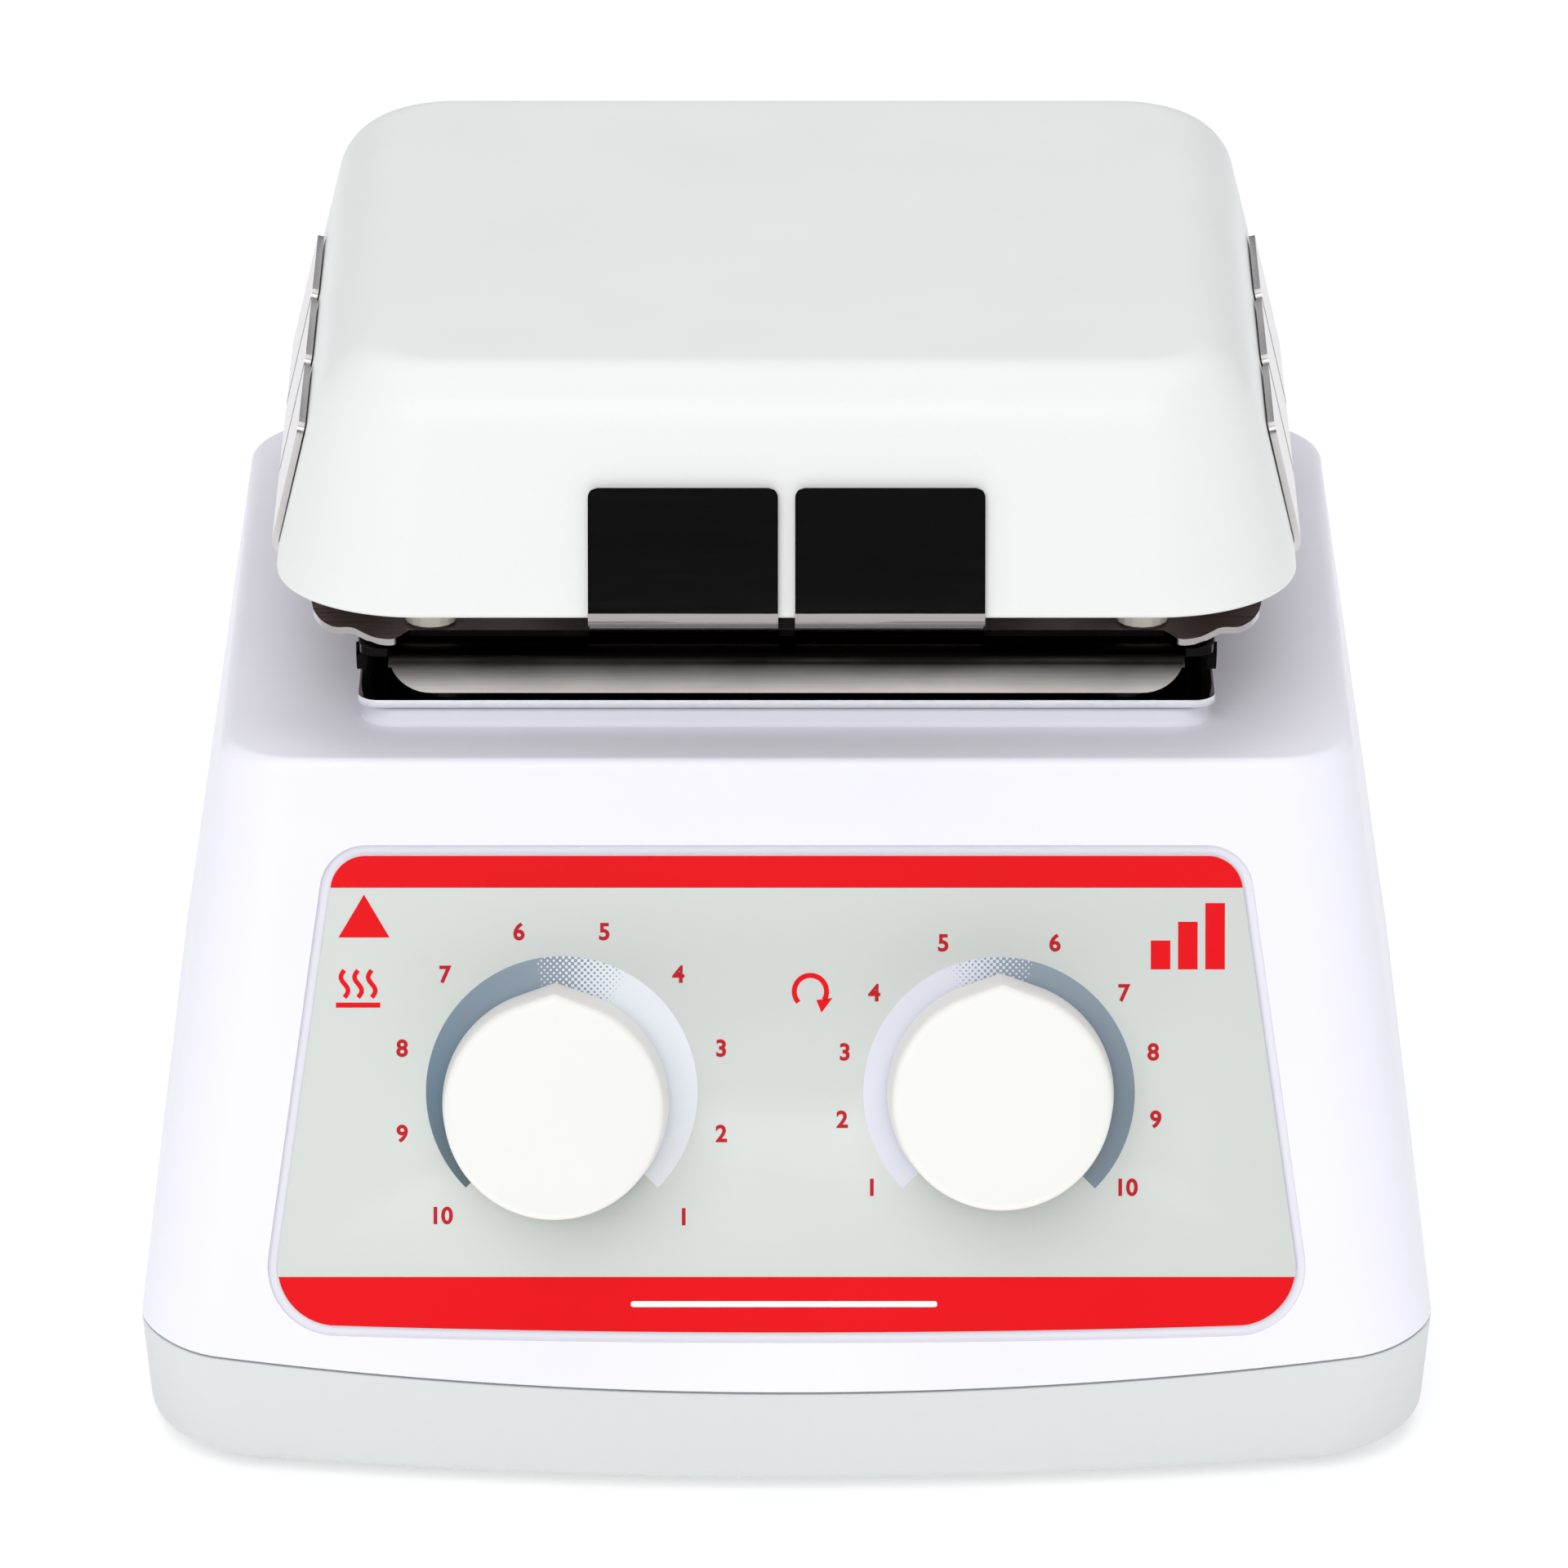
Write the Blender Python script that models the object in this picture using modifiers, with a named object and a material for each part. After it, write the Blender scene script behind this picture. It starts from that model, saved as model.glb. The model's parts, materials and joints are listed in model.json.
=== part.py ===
"""Compact laboratory hotplate stirrer: a magnetic stirrer under a square heated ceramic top.

Metres, +Z up. The feet rest on Z = 0, the control panel faces -Y, and the stirring axis is parallel to Z.
"""

import math

import bmesh
import bpy
from mathutils import Matrix, Vector

MM = 0.001
GAP = 0.3 * MM  # clearance between pieces that touch
WALL = 2.5 * MM  # moulded housing wall

# ---- base and housing ----
FOOT = 2.0 * MM  # the feet lift the lower shell by this much
BASE_W = 152.4 * MM
BASE_D = 145.2 * MM
FRONT_Y = -72.04 * MM  # front of the seam at mid width; centres the object on the origin
BACK_Y = FRONT_Y + BASE_D
CORNER_R = 9.7 * MM
BASE_DRAFT = 0.3 * MM  # the lower shell narrows by this much towards the table, per side
BASE_CORNER = Vector((15.2, 20.5)) * MM  # radii of the front corners at the table side: across, along
BASE_BOW = 5.8 * MM  # how far the bottom edge bows forward at mid width
BASE_LEAN = 1.0 * MM  # the front of the lower shell leans back by this much towards the table
SEAM_Z = FOOT + 11.6 * MM  # the seam at the middle of the front
SEAM_DIP = 5.6 * MM  # the seam is this much higher at the corners and along the sides
SEAM_FRONT_RISE = 0.63  # the share of that rise reached where the front corners begin
SEAM_BOW = 2.2 * MM
SIDE_SEAM_Z = SEAM_Z + SEAM_DIP
FLOOR_TOP = FOOT + WALL
SCREW_X = 62.5 * MM
SCREW_PLACES = [(side * SCREW_X, y) for side in (-1, 1) for y in (FRONT_Y + 17 * MM, BACK_Y - 12 * MM)]
SCREW_HEAD_Z = FOOT + 3.7 * MM
SCREW_R = 1.5 * MM
SCREW_HEAD_R = 3.0 * MM
BOSS_TOP = FOOT + 9.0 * MM
BOSS_R = 5.0 * MM
FOOT_X = 58.0 * MM
FOOT_PLACES = [(side * FOOT_X, y) for side in (-1, 1) for y in (FRONT_Y + 32 * MM, BACK_Y - 27 * MM)]
FOOT_R = 7.5 * MM
FOOT_SEAT = 1.2 * MM  # depth of the feet's seats in the lower shell
FLOOR_VENTS = 7
FLOOR_VENT = Vector((44.0, 3.0, 8.0)) * MM
FLOOR_VENT_PITCH = 7.0 * MM
CORNERS = ("front_left", "rear_left", "front_right", "rear_right")

PANEL_SLOPE = math.radians(71.5)
PANEL_FLAT_Z = FOOT + 22.5 * MM  # the front is one flat plane from here up
DECK_Z = FOOT + 82.5 * MM
DECK_W = 133.3 * MM
DECK_R_FRONT = 8.5 * MM
DECK_R_BACK = 14.0 * MM
DECK_EDGE_R = 1.5 * MM
CEILING_Z = DECK_Z - WALL
FRONT_BOSS_TOP = FOOT + 46.0 * MM
REAR_VENTS = 6
REAR_VENT = Vector((46.0, 12.0, 2.6)) * MM
REAR_VENT_X = -30.0 * MM
REAR_VENT_Z = FOOT + 30.0 * MM
REAR_VENT_PITCH = 6.0 * MM

# ---- control panel, measured up the slope from the seam ----
OVERLAY_BOTTOM = 7.2 * MM
OVERLAY_TOP = 63.4 * MM
OVERLAY_HALF_BOTTOM = 60.2 * MM
OVERLAY_HALF_TOP = 53.6 * MM
OVERLAY_T = 0.5 * MM
OVERLAY_SINK = 0.1 * MM  # the overlay's face lies this far below the panel
OVERLAY_MARGIN = 1.2 * MM  # the recess shows as a border this wide
OVERLAY_R_BOTTOM = 7.0 * MM
OVERLAY_R_TOP = 4.2 * MM
OVERLAY_SAG = 0.8 * MM  # the lower edge curves down by this much at mid width
HEAT_KNOB = Vector((-27.1, 34.4, 0.0)) * MM
STIR_KNOB = Vector((25.1, 35.5, 0.0)) * MM
KNOB_R = 13.3 * MM
KNOB_FACE_R = 12.8 * MM
KNOB_TIP = 14.1 * MM
KNOB_TOP = 14.0 * MM  # height of the knob's face above the panel
KNOB_HOLLOW = 10.5 * MM  # depth of the hollow under the knob
POT_R = 8.5 * MM
POT_BACK = -(WALL + GAP)  # the body starts behind the panel wall
POT_DEPTH = 9.5 * MM
BUSHING_TOP = 4.2 * MM
SHAFT_TOP = 11.2 * MM
BUSHING_R = 3.5 * MM
SHAFT_R = 3.0 * MM
NUT_R = 5.6 * MM
NUT_T = 2.2 * MM

# ---- hot plate stack, on the axis of the deck ----
AXIS_Y = FRONT_Y + 84.2 * MM
PAD_W = 99.8 * MM
PAD_H = 2.3 * MM
PAD_CORNER_R = 4.0 * MM
REFLECTOR_W = 101.2 * MM
SHEET = 1.0 * MM
PAN_TOP = DECK_Z + 10.0 * MM
PAN_APRON_BOTTOM = DECK_Z + 4.6 * MM
PAN_APRON_HALF = 46.9 * MM  # half of an apron's length
PAN_HALF = 50.8 * MM
PAN_APRON_R = 5.0 * MM
POST_PLACES = [(x * 40 * MM, AXIS_Y + y * 40 * MM) for x in (-1, 1) for y in (-1, 1)]
POST_R = 3.2 * MM
POST_BORE_R = 1.8 * MM
SPACER_PLACES = [(x * 42 * MM, AXIS_Y + y * 44 * MM) for x in (-1, 1) for y in (-1, 1)]
SPACER_R = 3.0 * MM
SPACER_PEG_R = 1.5 * MM
LEAD_PLACES = [(side * 14 * MM, AXIS_Y + 36 * MM) for side in (-1, 1)]
LEAD_HOLE_R = 2.6 * MM
LEAD_R = 1.0 * MM
FIXING_HOLE_R = 1.9 * MM
TRAY_Z = PAN_TOP + GAP  # underside of the clip tray
TRAY_T = 0.8 * MM
TRAY_SIDE = 56.4 * MM  # from the axis to the tray's left and right edges
TRAY_FRONT = 47.0 * MM  # and to its front and rear edges
TRAY_CORNER = [Vector(point) * MM for point in (
    (44.5, 47.0), (46.3, 50.4), (48.6, 49.6), (50.0, 47.8), (51.3, 45.9), (53.4, 46.2), (55.0, 43.9), (56.0, 40.5),
    (56.4, 36.8))]  # an ear of the tray, from the front edge to the side
TAB_BEND_R = 1.4 * MM  # middle of the sheet, round the skirt's edge
SKIRT_Z = DECK_Z + 17.3 * MM  # lower edge of the ceramic top
TOP_Z = DECK_Z + 45.4 * MM
SKIRT_W = 120.3 * MM
TOP_FLAT_W = 94.6 * MM
TOP_EDGE_R = 8.0 * MM
SKIRT_CORNER_R = 17.0 * MM
FLAT_CORNER_R = 6.5 * MM
SKIRT_EDGE = 0.7 * MM
CERAMIC_T = 4.0 * MM
TAB_W = 22.2 * MM
TAB_PITCH = 24.2 * MM
TAB_H = 14.7 * MM
TAB_CORNER_R = 1.1 * MM
HEATER_T = 3.0 * MM
HEATER_Z = TOP_Z - CERAMIC_T - GAP - HEATER_T
RETAINER_Z = DECK_Z + 30.6 * MM
PROBE_X = 39.0 * MM
PROBE_R = 2.0 * MM

# ---- stirring drive ----
MOTOR_R = 17.0 * MM
MOTOR_H = 28.0 * MM
MOTOR_NECK_R = 5.5 * MM
MOTOR_SHAFT_R = 2.0 * MM
BEARING_R = 4.0 * MM
BRACKET_T = 1.2 * MM
BRACKET_TOP = CEILING_Z - 6.0 * MM
MOTOR_TOP = BRACKET_TOP - BRACKET_T - GAP
MOTOR_NECK = BRACKET_TOP + 3.0 * MM
GROMMET_X = 26.0 * MM
YOKE_L = 60.0 * MM
YOKE_Z = DECK_Z + 18.0 * MM
YOKE_W = 12.0 * MM
YOKE_T = 2.5 * MM
YOKE_HUB_R = 5.0 * MM
MAGNET = Vector((15.0, 12.0, 6.0)) * MM

# ---- control electronics ----
BOARD_Z = FOOT + 9.0 * MM
BOARD_T = 1.6 * MM
BOARD_TOP = BOARD_Z + BOARD_T + GAP  # what stands on the board starts here
BOARD_HALF = Vector((50.0, 29.0)) * MM
BOARD_Y = FRONT_Y + 62.0 * MM
BOARD_POSTS = [(x * 44 * MM, BOARD_Y + y * 24 * MM) for x in (-1, 1) for y in (-1, 1)]
BOARD_POST_R = 3.0 * MM
TRANSFORMER = Vector((-26.0 * MM, BOARD_Y + 2 * MM, BOARD_TOP + 14 * MM))
RELAY = Vector((14.0 * MM, BOARD_Y - 12 * MM, BOARD_TOP + 7.5 * MM))
HEATSINK = Vector((35.0 * MM, BOARD_Y + 4 * MM, BOARD_TOP + 12 * MM))
HEATSINK_PITCH = 6.0 * MM
TERMINAL_SIZE = Vector((20.0, 9.0, 10.0)) * MM
TERMINAL = Vector((0.0, BOARD_Y + 22 * MM, BOARD_TOP + TERMINAL_SIZE.z / 2))

# ---- rear inlet ----
INLET_X = 34.0 * MM
INLET_Z = FOOT + 38.0 * MM
INLET_PLATE = Vector((50.0, 3.0, 34.0)) * MM
INLET_BODY = Vector((28.0, 24.0, 32.0)) * MM
SOCKET = Vector((24.2, 17.0, 16.4)) * MM
SOCKET_UP = 5.4 * MM  # the socket's middle above the inlet's middle
DRAWER = Vector((23.4, 19.0, 7.0)) * MM
DRAWER_DOWN = 9.6 * MM
INLET_PIN = Vector((2.0, 12.5, 4.0)) * MM
INLET_PIN_PLACES = [(x * MM, z * MM) for x, z in ((-7, -1.5), (7, -1.5), (0, 2.5))]
FUSE_R = 2.5 * MM
FUSE_L = 20.0 * MM
FUSE_PITCH = 7.2 * MM
INLET_FACE = GAP + INLET_PLATE.y  # the inlet's face stands this far behind the rear wall
INLET_SCREW_X = 20.0 * MM
INLET_SCREW_R = 1.5 * MM

ROUND = 24  # sides of a round piece
SMALL_ROUND = 16  # sides of a small round piece
HOLE = 12  # sides of a screw or lead hole
FRONT_STEPS = 10
CORNER_STEPS = 4
WIRE_STEPS = 3
UP = Vector((0, 0, 1))


# ---------------------------------------------------------------- scene set-up


def clear_scene():
    for obj in list(bpy.data.objects):
        bpy.data.objects.remove(obj)


def new_collection(name):
    collection = bpy.data.collections.new(name)
    bpy.context.scene.collection.children.link(collection)
    return collection


clear_scene()
PARTS = new_collection("hotplate_stirrer")
CUTTERS = new_collection("cutters")


def material(name, colour, roughness, metallic=0.0):
    made = bpy.data.materials.new(name)
    made.use_nodes = True
    shader = made.node_tree.nodes["Principled BSDF"]
    shader.inputs["Base Color"].default_value = (*colour, 1.0)
    shader.inputs["Roughness"].default_value = roughness
    shader.inputs["Metallic"].default_value = metallic
    return made


HOUSING_WHITE = material("housing_white", (0.80, 0.79, 0.84), 0.45)
BASE_GREY = material("base_grey", (0.74, 0.76, 0.75), 0.5)
OVERLAY_GREY = material("overlay_grey", (0.64, 0.67, 0.65), 0.4)
KNOB_WHITE = material("knob_white", (0.88, 0.87, 0.84), 0.35)
CERAMIC = material("glazed_ceramic", (0.86, 0.87, 0.86), 0.25)
STAINLESS = material("stainless_steel", (0.62, 0.60, 0.57), 0.18, 1.0)
STEEL = material("zinc_steel", (0.56, 0.57, 0.58), 0.35, 1.0)
ALUMINIUM = material("aluminium", (0.75, 0.76, 0.77), 0.4, 1.0)
RUBBER = material("black_rubber", (0.05, 0.05, 0.05), 0.8)
BLACK_PLASTIC = material("black_plastic", (0.06, 0.06, 0.06), 0.5)
BOARD_GREEN = material("board_green", (0.05, 0.25, 0.12), 0.5)
FIBRE = material("ceramic_fibre", (0.85, 0.83, 0.78), 0.95)
STEATITE = material("steatite", (0.85, 0.80, 0.70), 0.6)
MICA = material("mica_heater", (0.55, 0.45, 0.30), 0.6)
MAGNET_BLACK = material("ferrite", (0.10, 0.10, 0.11), 0.55)
BRASS = material("brass", (0.72, 0.56, 0.26), 0.35, 1.0)
COPPER = material("transformer_copper", (0.50, 0.28, 0.15), 0.45, 0.6)
GLASS = material("fuse_glass", (0.75, 0.80, 0.80), 0.1)
LEAD_SLEEVE = material("lead_sleeve", (0.70, 0.68, 0.60), 0.7)


# ---------------------------------------------------------------- shape helpers


def add_object(name, mesh, finish, parent=None):
    obj = bpy.data.objects.new(name, mesh)
    PARTS.objects.link(obj)
    obj.data.materials.clear()
    obj.data.materials.append(finish)
    obj.parent = parent
    return obj


def from_bmesh(name, shape, finish, parent=None, smooth=False):
    bmesh.ops.recalc_face_normals(shape, faces=shape.faces)
    mesh = bpy.data.meshes.new(name)
    shape.to_mesh(mesh)
    shape.free()
    if smooth:
        mesh.shade_smooth()
        mesh.set_sharp_from_angle(angle=math.radians(35))
    return add_object(name, mesh, finish, parent)


def box(name, size, at, finish, parent=None, edge=0.0):
    """A block of this size centred on a point, its edges rounded where edge is given."""
    shape = bmesh.new()
    bmesh.ops.create_cube(shape, size=1.0)
    bmesh.ops.scale(shape, vec=size, verts=shape.verts)
    if edge:
        bmesh.ops.bevel(shape, geom=shape.edges, offset=edge, segments=1, affect="EDGES")
    obj = from_bmesh(name, shape, finish, parent)
    obj.location = at
    return obj


def rod(name, radius, low, high, finish, parent=None, sides=ROUND, turn=None):
    """A round bar between two heights along its own Z axis, moved and turned by a matrix."""
    shape = bmesh.new()
    bmesh.ops.create_cone(shape, cap_ends=True, segments=sides, radius1=radius, radius2=radius,
                          depth=high - low)
    bmesh.ops.translate(shape, vec=UP * (low + high) / 2, verts=shape.verts)
    obj = from_bmesh(name, shape, finish, parent, smooth=True)
    if turn:
        obj.matrix_local = turn
    return obj


def upright(name, place, radius, low, high, finish, sides):
    """A vertical round bar that stands at an (x, y) place."""
    bar = rod(name, radius, low, high, finish, sides=sides)
    bar.location = (*place, 0)
    return bar


def turned(name, profile, finish, parent=None, steps=ROUND, closed=False):
    """A lathe shape from (radius, height) points that run down its outer side."""
    mesh = bpy.data.meshes.new(name)
    edges = [(i, i + 1) for i in range(len(profile) - 1)]
    if closed:
        edges.append((len(profile) - 1, 0))
    mesh.from_pydata([(r, 0.0, z) for r, z in profile], edges, [])
    obj = add_object(name, mesh, finish, parent)
    screw = obj.modifiers.new("lathe", "SCREW")
    screw.steps = screw.render_steps = steps
    screw.use_merge_vertices = True
    screw.merge_threshold = 0.00001
    screw.use_smooth_shade = True
    return obj


def ring_profile(inner, outer, low, high):
    return [(outer, high), (outer, low), (inner, low), (inner, high)]


def evaluated_mesh(obj):
    """The object's shape as a plain welded mesh; the object itself goes."""
    graph = bpy.context.evaluated_depsgraph_get()
    mesh = bpy.data.meshes.new_from_object(obj.evaluated_get(graph))
    shape = bmesh.new()
    shape.from_mesh(mesh)
    bmesh.ops.remove_doubles(shape, verts=shape.verts, dist=0.000001)
    bmesh.ops.recalc_face_normals(shape, faces=shape.faces)
    shape.to_mesh(mesh)
    shape.free()
    bpy.data.objects.remove(obj)
    return mesh


def flat_piece(name, outlines, thickness, finish, parent=None, turn=None):
    """A sheet cut to closed outlines (the first is the edge, the rest are holes), its underside at Z = 0."""
    curve = bpy.data.curves.new(name, "CURVE")
    curve.dimensions = "2D"
    curve.fill_mode = "BOTH"
    curve.extrude = thickness / 2
    for outline in outlines:
        spline = curve.splines.new("POLY")
        spline.points.add(len(outline) - 1)
        spline.use_cyclic_u = True
        for point, (x, y) in zip(spline.points, outline):
            point.co = (x, y, 0.0, 1.0)
    drawn = bpy.data.objects.new(name + "_outline", curve)
    PARTS.objects.link(drawn)
    mesh = evaluated_mesh(drawn)
    mesh.transform(Matrix.Translation(UP * thickness / 2))
    obj = add_object(name, mesh, finish, parent)
    if turn:
        obj.matrix_local = turn
    return obj


def wire(name, points, radius, finish):
    """A round lead through a list of points, smoothed by a Catmull-Rom curve."""
    path = []
    padded = [points[0], *points, points[-1]]
    for a, b, c, d in zip(padded, padded[1:], padded[2:], padded[3:]):
        for i in range(WIRE_STEPS):
            t = i / WIRE_STEPS
            path.append(0.5 * ((2 * b) + (c - a) * t + (2 * a - 5 * b + 4 * c - d) * t * t
                               + (3 * b - a - 3 * c + d) * t ** 3))
    path.append(points[-1])
    curve = bpy.data.curves.new(name, "CURVE")
    curve.dimensions = "3D"
    curve.bevel_depth = radius
    curve.bevel_resolution = 1
    curve.use_fill_caps = True
    spline = curve.splines.new("POLY")
    spline.points.add(len(path) - 1)
    for point, place in zip(spline.points, path):
        point.co = (*place, 1.0)
    drawn = bpy.data.objects.new(name + "_path", curve)
    PARTS.objects.link(drawn)
    mesh = evaluated_mesh(drawn)
    mesh.shade_smooth()
    mesh.set_sharp_from_angle(angle=math.radians(50))
    return add_object(name, mesh, finish)


def boolean(obj, tool, operation):
    """Joins or cuts obj with a helper that stays hidden among the cutters."""
    for held in list(tool.users_collection):
        held.objects.unlink(tool)
    CUTTERS.objects.link(tool)
    tool.hide_render = True
    tool.display_type = "WIRE"
    step = obj.modifiers.new(tool.name, "BOOLEAN")
    step.operation = operation
    step.solver = "EXACT"
    step.object = tool


def cut(obj, tool):
    boolean(obj, tool, "DIFFERENCE")


def join(obj, tool):
    boolean(obj, tool, "UNION")


def arc(centre, radius, start, end, steps):
    """Points of a circular arc, angles in degrees, both ends included."""
    return [(centre[0] + radius * math.cos(math.radians(start + (end - start) * i / steps)),
             centre[1] + radius * math.sin(math.radians(start + (end - start) * i / steps)))
            for i in range(steps + 1)]


def circle(x, y, radius, sides=ROUND):
    return arc((x, y), radius, 0, 360 * (sides - 1) / sides, sides - 1)


def rounded_rectangle(half_x, half_y, radius, steps=CORNER_STEPS):
    points = []
    for sign_x, sign_y, start in ((1, -1, 270), (1, 1, 0), (-1, 1, 90), (-1, -1, 180)):
        middle = (sign_x * (half_x - radius), sign_y * (half_y - radius))
        points += arc(middle, radius, start, start + 90, steps)
    return points


def loft(name, rings, finish, parent=None):
    """One closed body through rings of equally many points, with a flat cap at each end."""
    shape = bmesh.new()
    rows = [[shape.verts.new(point) for point in ring] for ring in rings]
    for lower, upper in zip(rows, rows[1:]):
        for i in range(len(lower)):
            j = (i + 1) % len(lower)
            shape.faces.new((lower[i], lower[j], upper[j], upper[i]))
    shape.faces.new(rows[0][::-1])
    shape.faces.new(rows[-1])
    return from_bmesh(name, shape, finish, parent, smooth=True)


def body_ring(half, front, back, r_front, r_back, height, bow=0.0, dip=0.0):
    """
    A level of the housing: a rounded rectangle whose front edge can bow forward and dip at mid width.
    The front corners' radius is one number, or one across and one along.
    """
    points = []
    across, along = r_front if isinstance(r_front, Vector) else (r_front, r_front)
    straight = half - across
    for i in range(1, FRONT_STEPS):
        share = 2 * i / FRONT_STEPS - 1
        middle = 1 - share ** 2
        drop = dip * (1 - SEAM_FRONT_RISE * share ** 2)
        points.append(Vector((straight * share, front - bow * middle, height - drop)))
    corners = (
        (1, 270, (across, along), front + along),
        (1, 0, (r_back, r_back), back - r_back),
        (-1, 90, (r_back, r_back), back - r_back),
        (-1, 180, (across, along), front + along),
    )
    for side, start, radii, y in corners:
        for i, (x, out) in enumerate(arc((0.0, 0.0), 1.0, start, start + 90, CORNER_STEPS)):
            progress = i / CORNER_STEPS if side > 0 else 1 - i / CORNER_STEPS
            eased = progress ** 2 * (3 - 2 * progress)
            rise = SEAM_FRONT_RISE + (1 - SEAM_FRONT_RISE) * eased + 0.29 * progress * (1 - progress) ** 2
            drop = dip * (1 - rise) if y < (front + back) / 2 else 0.0
            points.append(Vector((side * (half - radii[0]) + radii[0] * x, y + radii[1] * out, height - drop)))
    return points


def panel_y(height, inset=0.0):
    """Where the front plane stands at a height, moved in by a wall's thickness."""
    return FRONT_Y + (height - SEAM_Z) / math.tan(PANEL_SLOPE) + inset / math.sin(PANEL_SLOPE)


def side_x(height, inset=0.0):
    """Half of the housing's width at a height."""
    lean = (BASE_W - DECK_W) / 2 / (DECK_Z - SIDE_SEAM_Z)
    return BASE_W / 2 - lean * (height - SIDE_SEAM_Z) - inset


# ---------------------------------------------------------------- frames of reference

panel_frame = bpy.data.objects.new("panel_frame", None)
heat_axis = bpy.data.objects.new("heat_axis", None)
stir_axis = bpy.data.objects.new("stir_axis", None)
rotor_axis = bpy.data.objects.new("rotor_axis", None)
drawer_axis = bpy.data.objects.new("drawer_axis", None)
for empty in (panel_frame, heat_axis, stir_axis, rotor_axis, drawer_axis):
    PARTS.objects.link(empty)
panel_frame.location = (0, FRONT_Y, SEAM_Z)
panel_frame.rotation_euler = (PANEL_SLOPE, 0, 0)
for empty, place in ((heat_axis, HEAT_KNOB), (stir_axis, STIR_KNOB)):
    empty.parent = panel_frame
    empty.location = place
rotor_axis.location = (0, AXIS_Y, 0)
drawer_axis.location = (INLET_X, BACK_Y, INLET_Z - DRAWER_DOWN)


# ---------------------------------------------------------------- lower shell and feet


def base_outline(height, inset):
    """A level of the lower shell between the table side and the seam."""
    share = (height - FOOT) / (SIDE_SEAM_Z - FOOT)
    half = BASE_W / 2 - BASE_DRAFT * (1 - share) - inset
    front = FRONT_Y + SEAM_BOW * share + (BASE_BOW + BASE_LEAN) * (1 - share) + inset
    bow = SEAM_BOW * share + BASE_BOW * (1 - share)
    corner = BASE_CORNER.lerp(Vector((CORNER_R, CORNER_R)), share) - Vector((inset, inset)) * 0.6
    return half, front, BACK_Y - inset, corner, CORNER_R - inset * 0.6, bow


def base_ring(height, inset, dip=0.0, level=None):
    half, front, back, r_front, r_back, bow = base_outline(height, inset)
    return body_ring(half, front, back, r_front, r_back, level if level is not None else height, bow, dip)


def bottom_shell():
    rim = SIDE_SEAM_Z - GAP / 2
    shell = loft("bottom_shell", [
        base_ring(FOOT, 1.0 * MM),
        base_ring(FOOT + 0.4 * MM, 0.3 * MM),
        base_ring(FOOT + 1.3 * MM, 0.0),
        base_ring(rim, 0.0, SEAM_DIP),
        base_ring(rim, WALL, SEAM_DIP),
        base_ring(FLOOR_TOP + 1.0 * MM, WALL),
        base_ring(FLOOR_TOP, WALL + 1.0 * MM),
    ], BASE_GREY)
    below = FOOT - MM
    inside = FOOT + MM
    for i, place in enumerate(SCREW_PLACES):
        join(shell, upright(f"boss_{i}", place, BOSS_R, inside, BOSS_TOP, BASE_GREY, ROUND))
        cut(shell, upright(f"boss_bore_{i}", place, SCREW_R + 0.4 * MM, below, BOSS_TOP + MM, BASE_GREY, HOLE))
        cut(shell, upright(f"boss_sink_{i}", place, SCREW_HEAD_R + 0.6 * MM, below, SCREW_HEAD_Z + GAP, BASE_GREY,
                           SMALL_ROUND))
    for i, place in enumerate(FOOT_PLACES):
        cut(shell, upright(f"foot_seat_{i}", place, FOOT_R + GAP, below, FOOT + FOOT_SEAT, BASE_GREY, ROUND))
    for i in range(FLOOR_VENTS):
        y = AXIS_Y + (i - (FLOOR_VENTS - 1) / 2) * FLOOR_VENT_PITCH
        cut(shell, box(f"floor_vent_{i}", FLOOR_VENT, (0, y, FOOT), BASE_GREY))
    for i, place in enumerate(BOARD_POSTS):
        join(shell, upright(f"board_post_{i}", place, BOARD_POST_R, inside, BOARD_Z - GAP, BASE_GREY, SMALL_ROUND))


def rubber_feet():
    for (x, y), name in zip(FOOT_PLACES, CORNERS):
        foot = turned(f"rubber_foot_{name}", [
            (0.0, FOOT + FOOT_SEAT - GAP), (FOOT_R, FOOT + FOOT_SEAT - GAP), (FOOT_R, FOOT),
            (FOOT_R - 0.5 * MM, 0.5 * MM), (FOOT_R - 1.1 * MM, 0.0), (0.0, 0.0),
        ], RUBBER)
        foot.location = (x, y, 0)


def housing_screws():
    head_low = SCREW_HEAD_Z - 2.0 * MM
    tip = SCREW_HEAD_Z + 16 * MM
    for (x, y), name in zip(SCREW_PLACES, CORNERS):
        screw = turned(f"housing_screw_{name}", [
            (0.0, tip), (SCREW_R - 0.4 * MM, tip - MM), (SCREW_R, tip - 2 * MM), (SCREW_R, SCREW_HEAD_Z),
            (SCREW_HEAD_R, SCREW_HEAD_Z), (SCREW_HEAD_R, head_low + 0.8 * MM), (SCREW_HEAD_R - 0.6 * MM, head_low),
            (0.0, head_low),
        ], STEEL, steps=SMALL_ROUND)
        screw.location = (x, y, 0)
        cut(screw, box(f"housing_screw_slot_{name}", Vector((4.0, 0.8, 2.0)) * MM, (x, y, head_low), STEEL))


# ---------------------------------------------------------------- upper housing


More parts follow.
